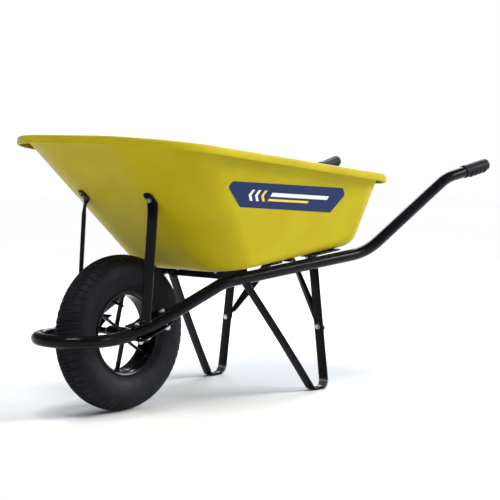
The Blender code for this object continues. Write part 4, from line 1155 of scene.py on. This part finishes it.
# ---------------------------------------------------------------- grips
def make_grip(word, side):
    """A moulded grip: ribbed collar, four finger swells underneath and a domed end."""
    start, _ = frame_at(GRIP_START, side)
    _, along = frame_at(TUBE_END - 0.001, side)
    length = (GRIP_END - GRIP_START - 0.001) / along.x
    bore = TUBE_RADIUS + GAP
    stop = (TUBE_END - GRIP_START) / along.x + 0.0006
    across = along.cross(Vector((0, 0, 1))).normalized()
    up = across.cross(along).normalized()
    levels = [0.0, 0.0004, 0.0012] + [0.0022 + 0.00085 * k for k in range(10)]
    levels += [0.0118 + (length - 0.0118 - 0.014) * k / 56 for k in range(57)]
    levels += [length - 0.014 + 0.014 * math.sin(math.radians(7.5 * k)) for k in range(1, 13)]
    rings = []
    for s in levels:
        if s < 0.0108:
            body = 0.0182 + 0.0006 * min(1.0, s / 0.0012)
            body -= 0.0005 * (0.5 + 0.5 * math.cos(math.tau * (s - 0.0022) / 0.0028)) if s > 0.0022 else 0
        else:
            body = 0.0171
        left = length - s
        if left < 0.014:
            body *= math.sqrt(max(0.0, 1 - ((0.014 - left) / 0.0141) ** 2))
        share = (s - 0.018) / (length - 0.018 - 0.016)
        swell = 0.0
        if 0 < share < 1:
            swell = 0.0018 + 0.0030 * math.sin(math.pi * ((share * 4) % 1)) ** 1.5
        ring = []
        for angle in fractions(48):
            under = max(0.0, -math.sin(angle)) ** 1.2
            radius = body + (swell - 0.0001) * under if s > 0.0108 else body
            if 0.020 < s < length - 0.020 and math.sin(angle) > 0.25:
                radius += 0.00035 * (0.5 + 0.5 * math.cos(24 * angle))
            ring.append(start + along * s + (across * math.cos(angle) + up * math.sin(angle)) * radius)
        rings.append(ring)
    inside = [[start + along * s + (across * math.cos(angle) + up * math.sin(angle)) * bore
               for angle in fractions(48)] for s in (0.0, stop)]
    rings = list(reversed(inside)) + rings
    piece_of(f"grip_moulding_{word}", ring_mesh(f"grip_moulding_{word}", rings), GRIP_RUBBER,
             [f"grip_{word}"], sharp=50)


# ---------------------------------------------------------------- pieces kept from the frame
def finish_frame_nodes():
    """Plates, brackets and bushes keep their CAD shape, with softened edges and a finish of their own."""
    finishes = {"front_cross_member": BLACK, "middle_cross_strap": BLACK, "narrow_cross_strap": BLACK,
                "rear_cross_plate": BLACK, "inner_tube": TYRE_RUBBER}
    for word, _ in SIDES:
        finishes.update({f"axle_bracket_{word}": BLACK, f"axle_spacer_{word}": BLACK,
                         f"hub_bush_{word}": NYLON})
    for name, material in finishes.items():
        node = frame["nodes"][name]
        node.data.materials.clear()
        node.data.materials.append(material)
        weld = node.modifiers.new("weld", "WELD")
        weld.merge_threshold = 0.00001
        if name != "inner_tube":
            bevel = node.modifiers.new("edges", "BEVEL")
            bevel.width = 0.0006
            bevel.segments = 2
            bevel.limit_method = "ANGLE"
            bevel.angle_limit = math.radians(40)
            bevel.use_clamp_overlap = True
        smooth = node.modifiers.new("normals", "WEIGHTED_NORMAL")
        smooth.keep_sharp = True


# ---------------------------------------------------------------- studio
FLOOR_SIZE = 14.0
FLOOR_STEPS = 28
FLOOR_Z = -0.0002
CAMERA_AZIMUTH = math.radians(-47.36)
CAMERA_ELEVATION = math.radians(5.23)
CAMERA_ROLL = math.radians(-0.73)
CAMERA_TARGET = Vector((0.014, 0, 0.374))
CAMERA_DISTANCE = 4.76
CAMERA_LENS = 124.13


def make_floor():
    """A wide, flat, pale floor just under the barrow."""
    bm = bmesh.new()
    places = [FLOOR_SIZE * (i / FLOOR_STEPS - 0.5) for i in range(FLOOR_STEPS + 1)]
    rows = [[bm.verts.new((x, y, FLOOR_Z)) for y in places] for x in places]
    for row, following in zip(rows, rows[1:]):
        for j in range(FLOOR_STEPS):
            bm.faces.new((row[j], following[j], following[j + 1], row[j + 1]))
    mesh = mesh_from(bm, "floor")
    if mesh.polygons[0].normal.z < 0:
        mesh.flip_normals()
    floor = bpy.data.objects.new("floor", mesh)
    bpy.context.scene.collection.objects.link(floor)
    finish = Finish("floor", Specular_IOR_Level=0.2, Roughness=0.8)
    finish.feed("Base Color", finish.mix(finish.noise(0.6, 2.0), (0.80, 0.80, 0.80), (0.83, 0.83, 0.83)))
    mesh.materials.append(finish.material)


def add_light(name, place, size, power, target=(0, 0, 0.35), tint=(1, 1, 1)):
    data = bpy.data.lights.new(name, "AREA")
    data.shape = "RECTANGLE"
    data.size, data.size_y = size
    data.energy = power
    data.color = tint
    light = bpy.data.objects.new(name, data)
    bpy.context.scene.collection.objects.link(light)
    light.location = place
    light.rotation_euler = (Vector(target) - Vector(place)).to_track_quat("-Z", "Y").to_euler()


def add_sky_light(name, direction, strength, spread):
    """A wide soft light from one direction, the same all over the floor."""
    data = bpy.data.lights.new(name, "SUN")
    data.energy = strength
    data.angle = math.radians(spread)
    light = bpy.data.objects.new(name, data)
    bpy.context.scene.collection.objects.link(light)
    light.rotation_euler = Vector(direction).to_track_quat("Z", "Y").to_euler()


def add_studio():
    make_floor()
    add_sky_light("key", (0.72, -0.60, 0.42), 3.6, 28)
    add_sky_light("overhead", (-0.30, -0.16, 0.94), 2.2, 24)
    add_light("strip", (1.9, 1.2, 1.9), (2.4, 1.2), 70, tint=(0.78, 0.86, 1.0))
    world = bpy.data.worlds.new("studio")
    bpy.context.scene.world = world
    world.use_nodes = True
    nodes, links = world.node_tree.nodes, world.node_tree.links
    split = nodes.new("ShaderNodeSeparateXYZ")
    links.new(nodes.new("ShaderNodeTexCoord").outputs["Generated"], split.inputs[0])
    band = nodes.new("ShaderNodeValToRGB")
    band.color_ramp.elements[0].position = 0.08
    band.color_ramp.elements[0].color = (1.0, 1.0, 1.0, 1)
    band.color_ramp.elements[1].position = 0.20
    band.color_ramp.elements[1].color = (0.12, 0.12, 0.13, 1)
    links.new(split.outputs["Z"], band.inputs["Fac"])
    background = nodes["Background"]
    links.new(band.outputs["Color"], background.inputs["Color"])
    background.inputs["Strength"].default_value = 1.0


def add_camera():
    back = Vector((math.sin(CAMERA_AZIMUTH) * math.cos(CAMERA_ELEVATION),
                   -math.cos(CAMERA_AZIMUTH) * math.cos(CAMERA_ELEVATION), math.sin(CAMERA_ELEVATION)))
    right = polar(1, CAMERA_AZIMUTH)
    rolled = right * math.cos(CAMERA_ROLL) + back.cross(right) * math.sin(CAMERA_ROLL)
    axes = Matrix((rolled, back.cross(rolled), back)).transposed().to_4x4()
    data = bpy.data.cameras.new("camera")
    data.sensor_width = 36
    data.lens = CAMERA_LENS
    camera = bpy.data.objects.new("camera", data)
    bpy.context.scene.collection.objects.link(camera)
    camera.matrix_world = Matrix.Translation(CAMERA_TARGET + back * CAMERA_DISTANCE) @ axes
    bpy.context.scene.camera = camera


make_frame_tube()
tub_skin = make_tub()
for side_word, side_sign in SIDES:
    make_label(tub_skin, side_word, side_sign)
    make_leg(side_word, side_sign)
    make_strut(side_word, side_sign)
    make_grip(side_word, side_sign)
make_brace()
fit_fasteners()
make_axle()
make_tyre()
make_rim()
make_wheel_centre()
make_valve()
finish_frame_nodes()
add_studio()
add_camera()
bpy.context.scene.view_settings.view_transform = "Standard"
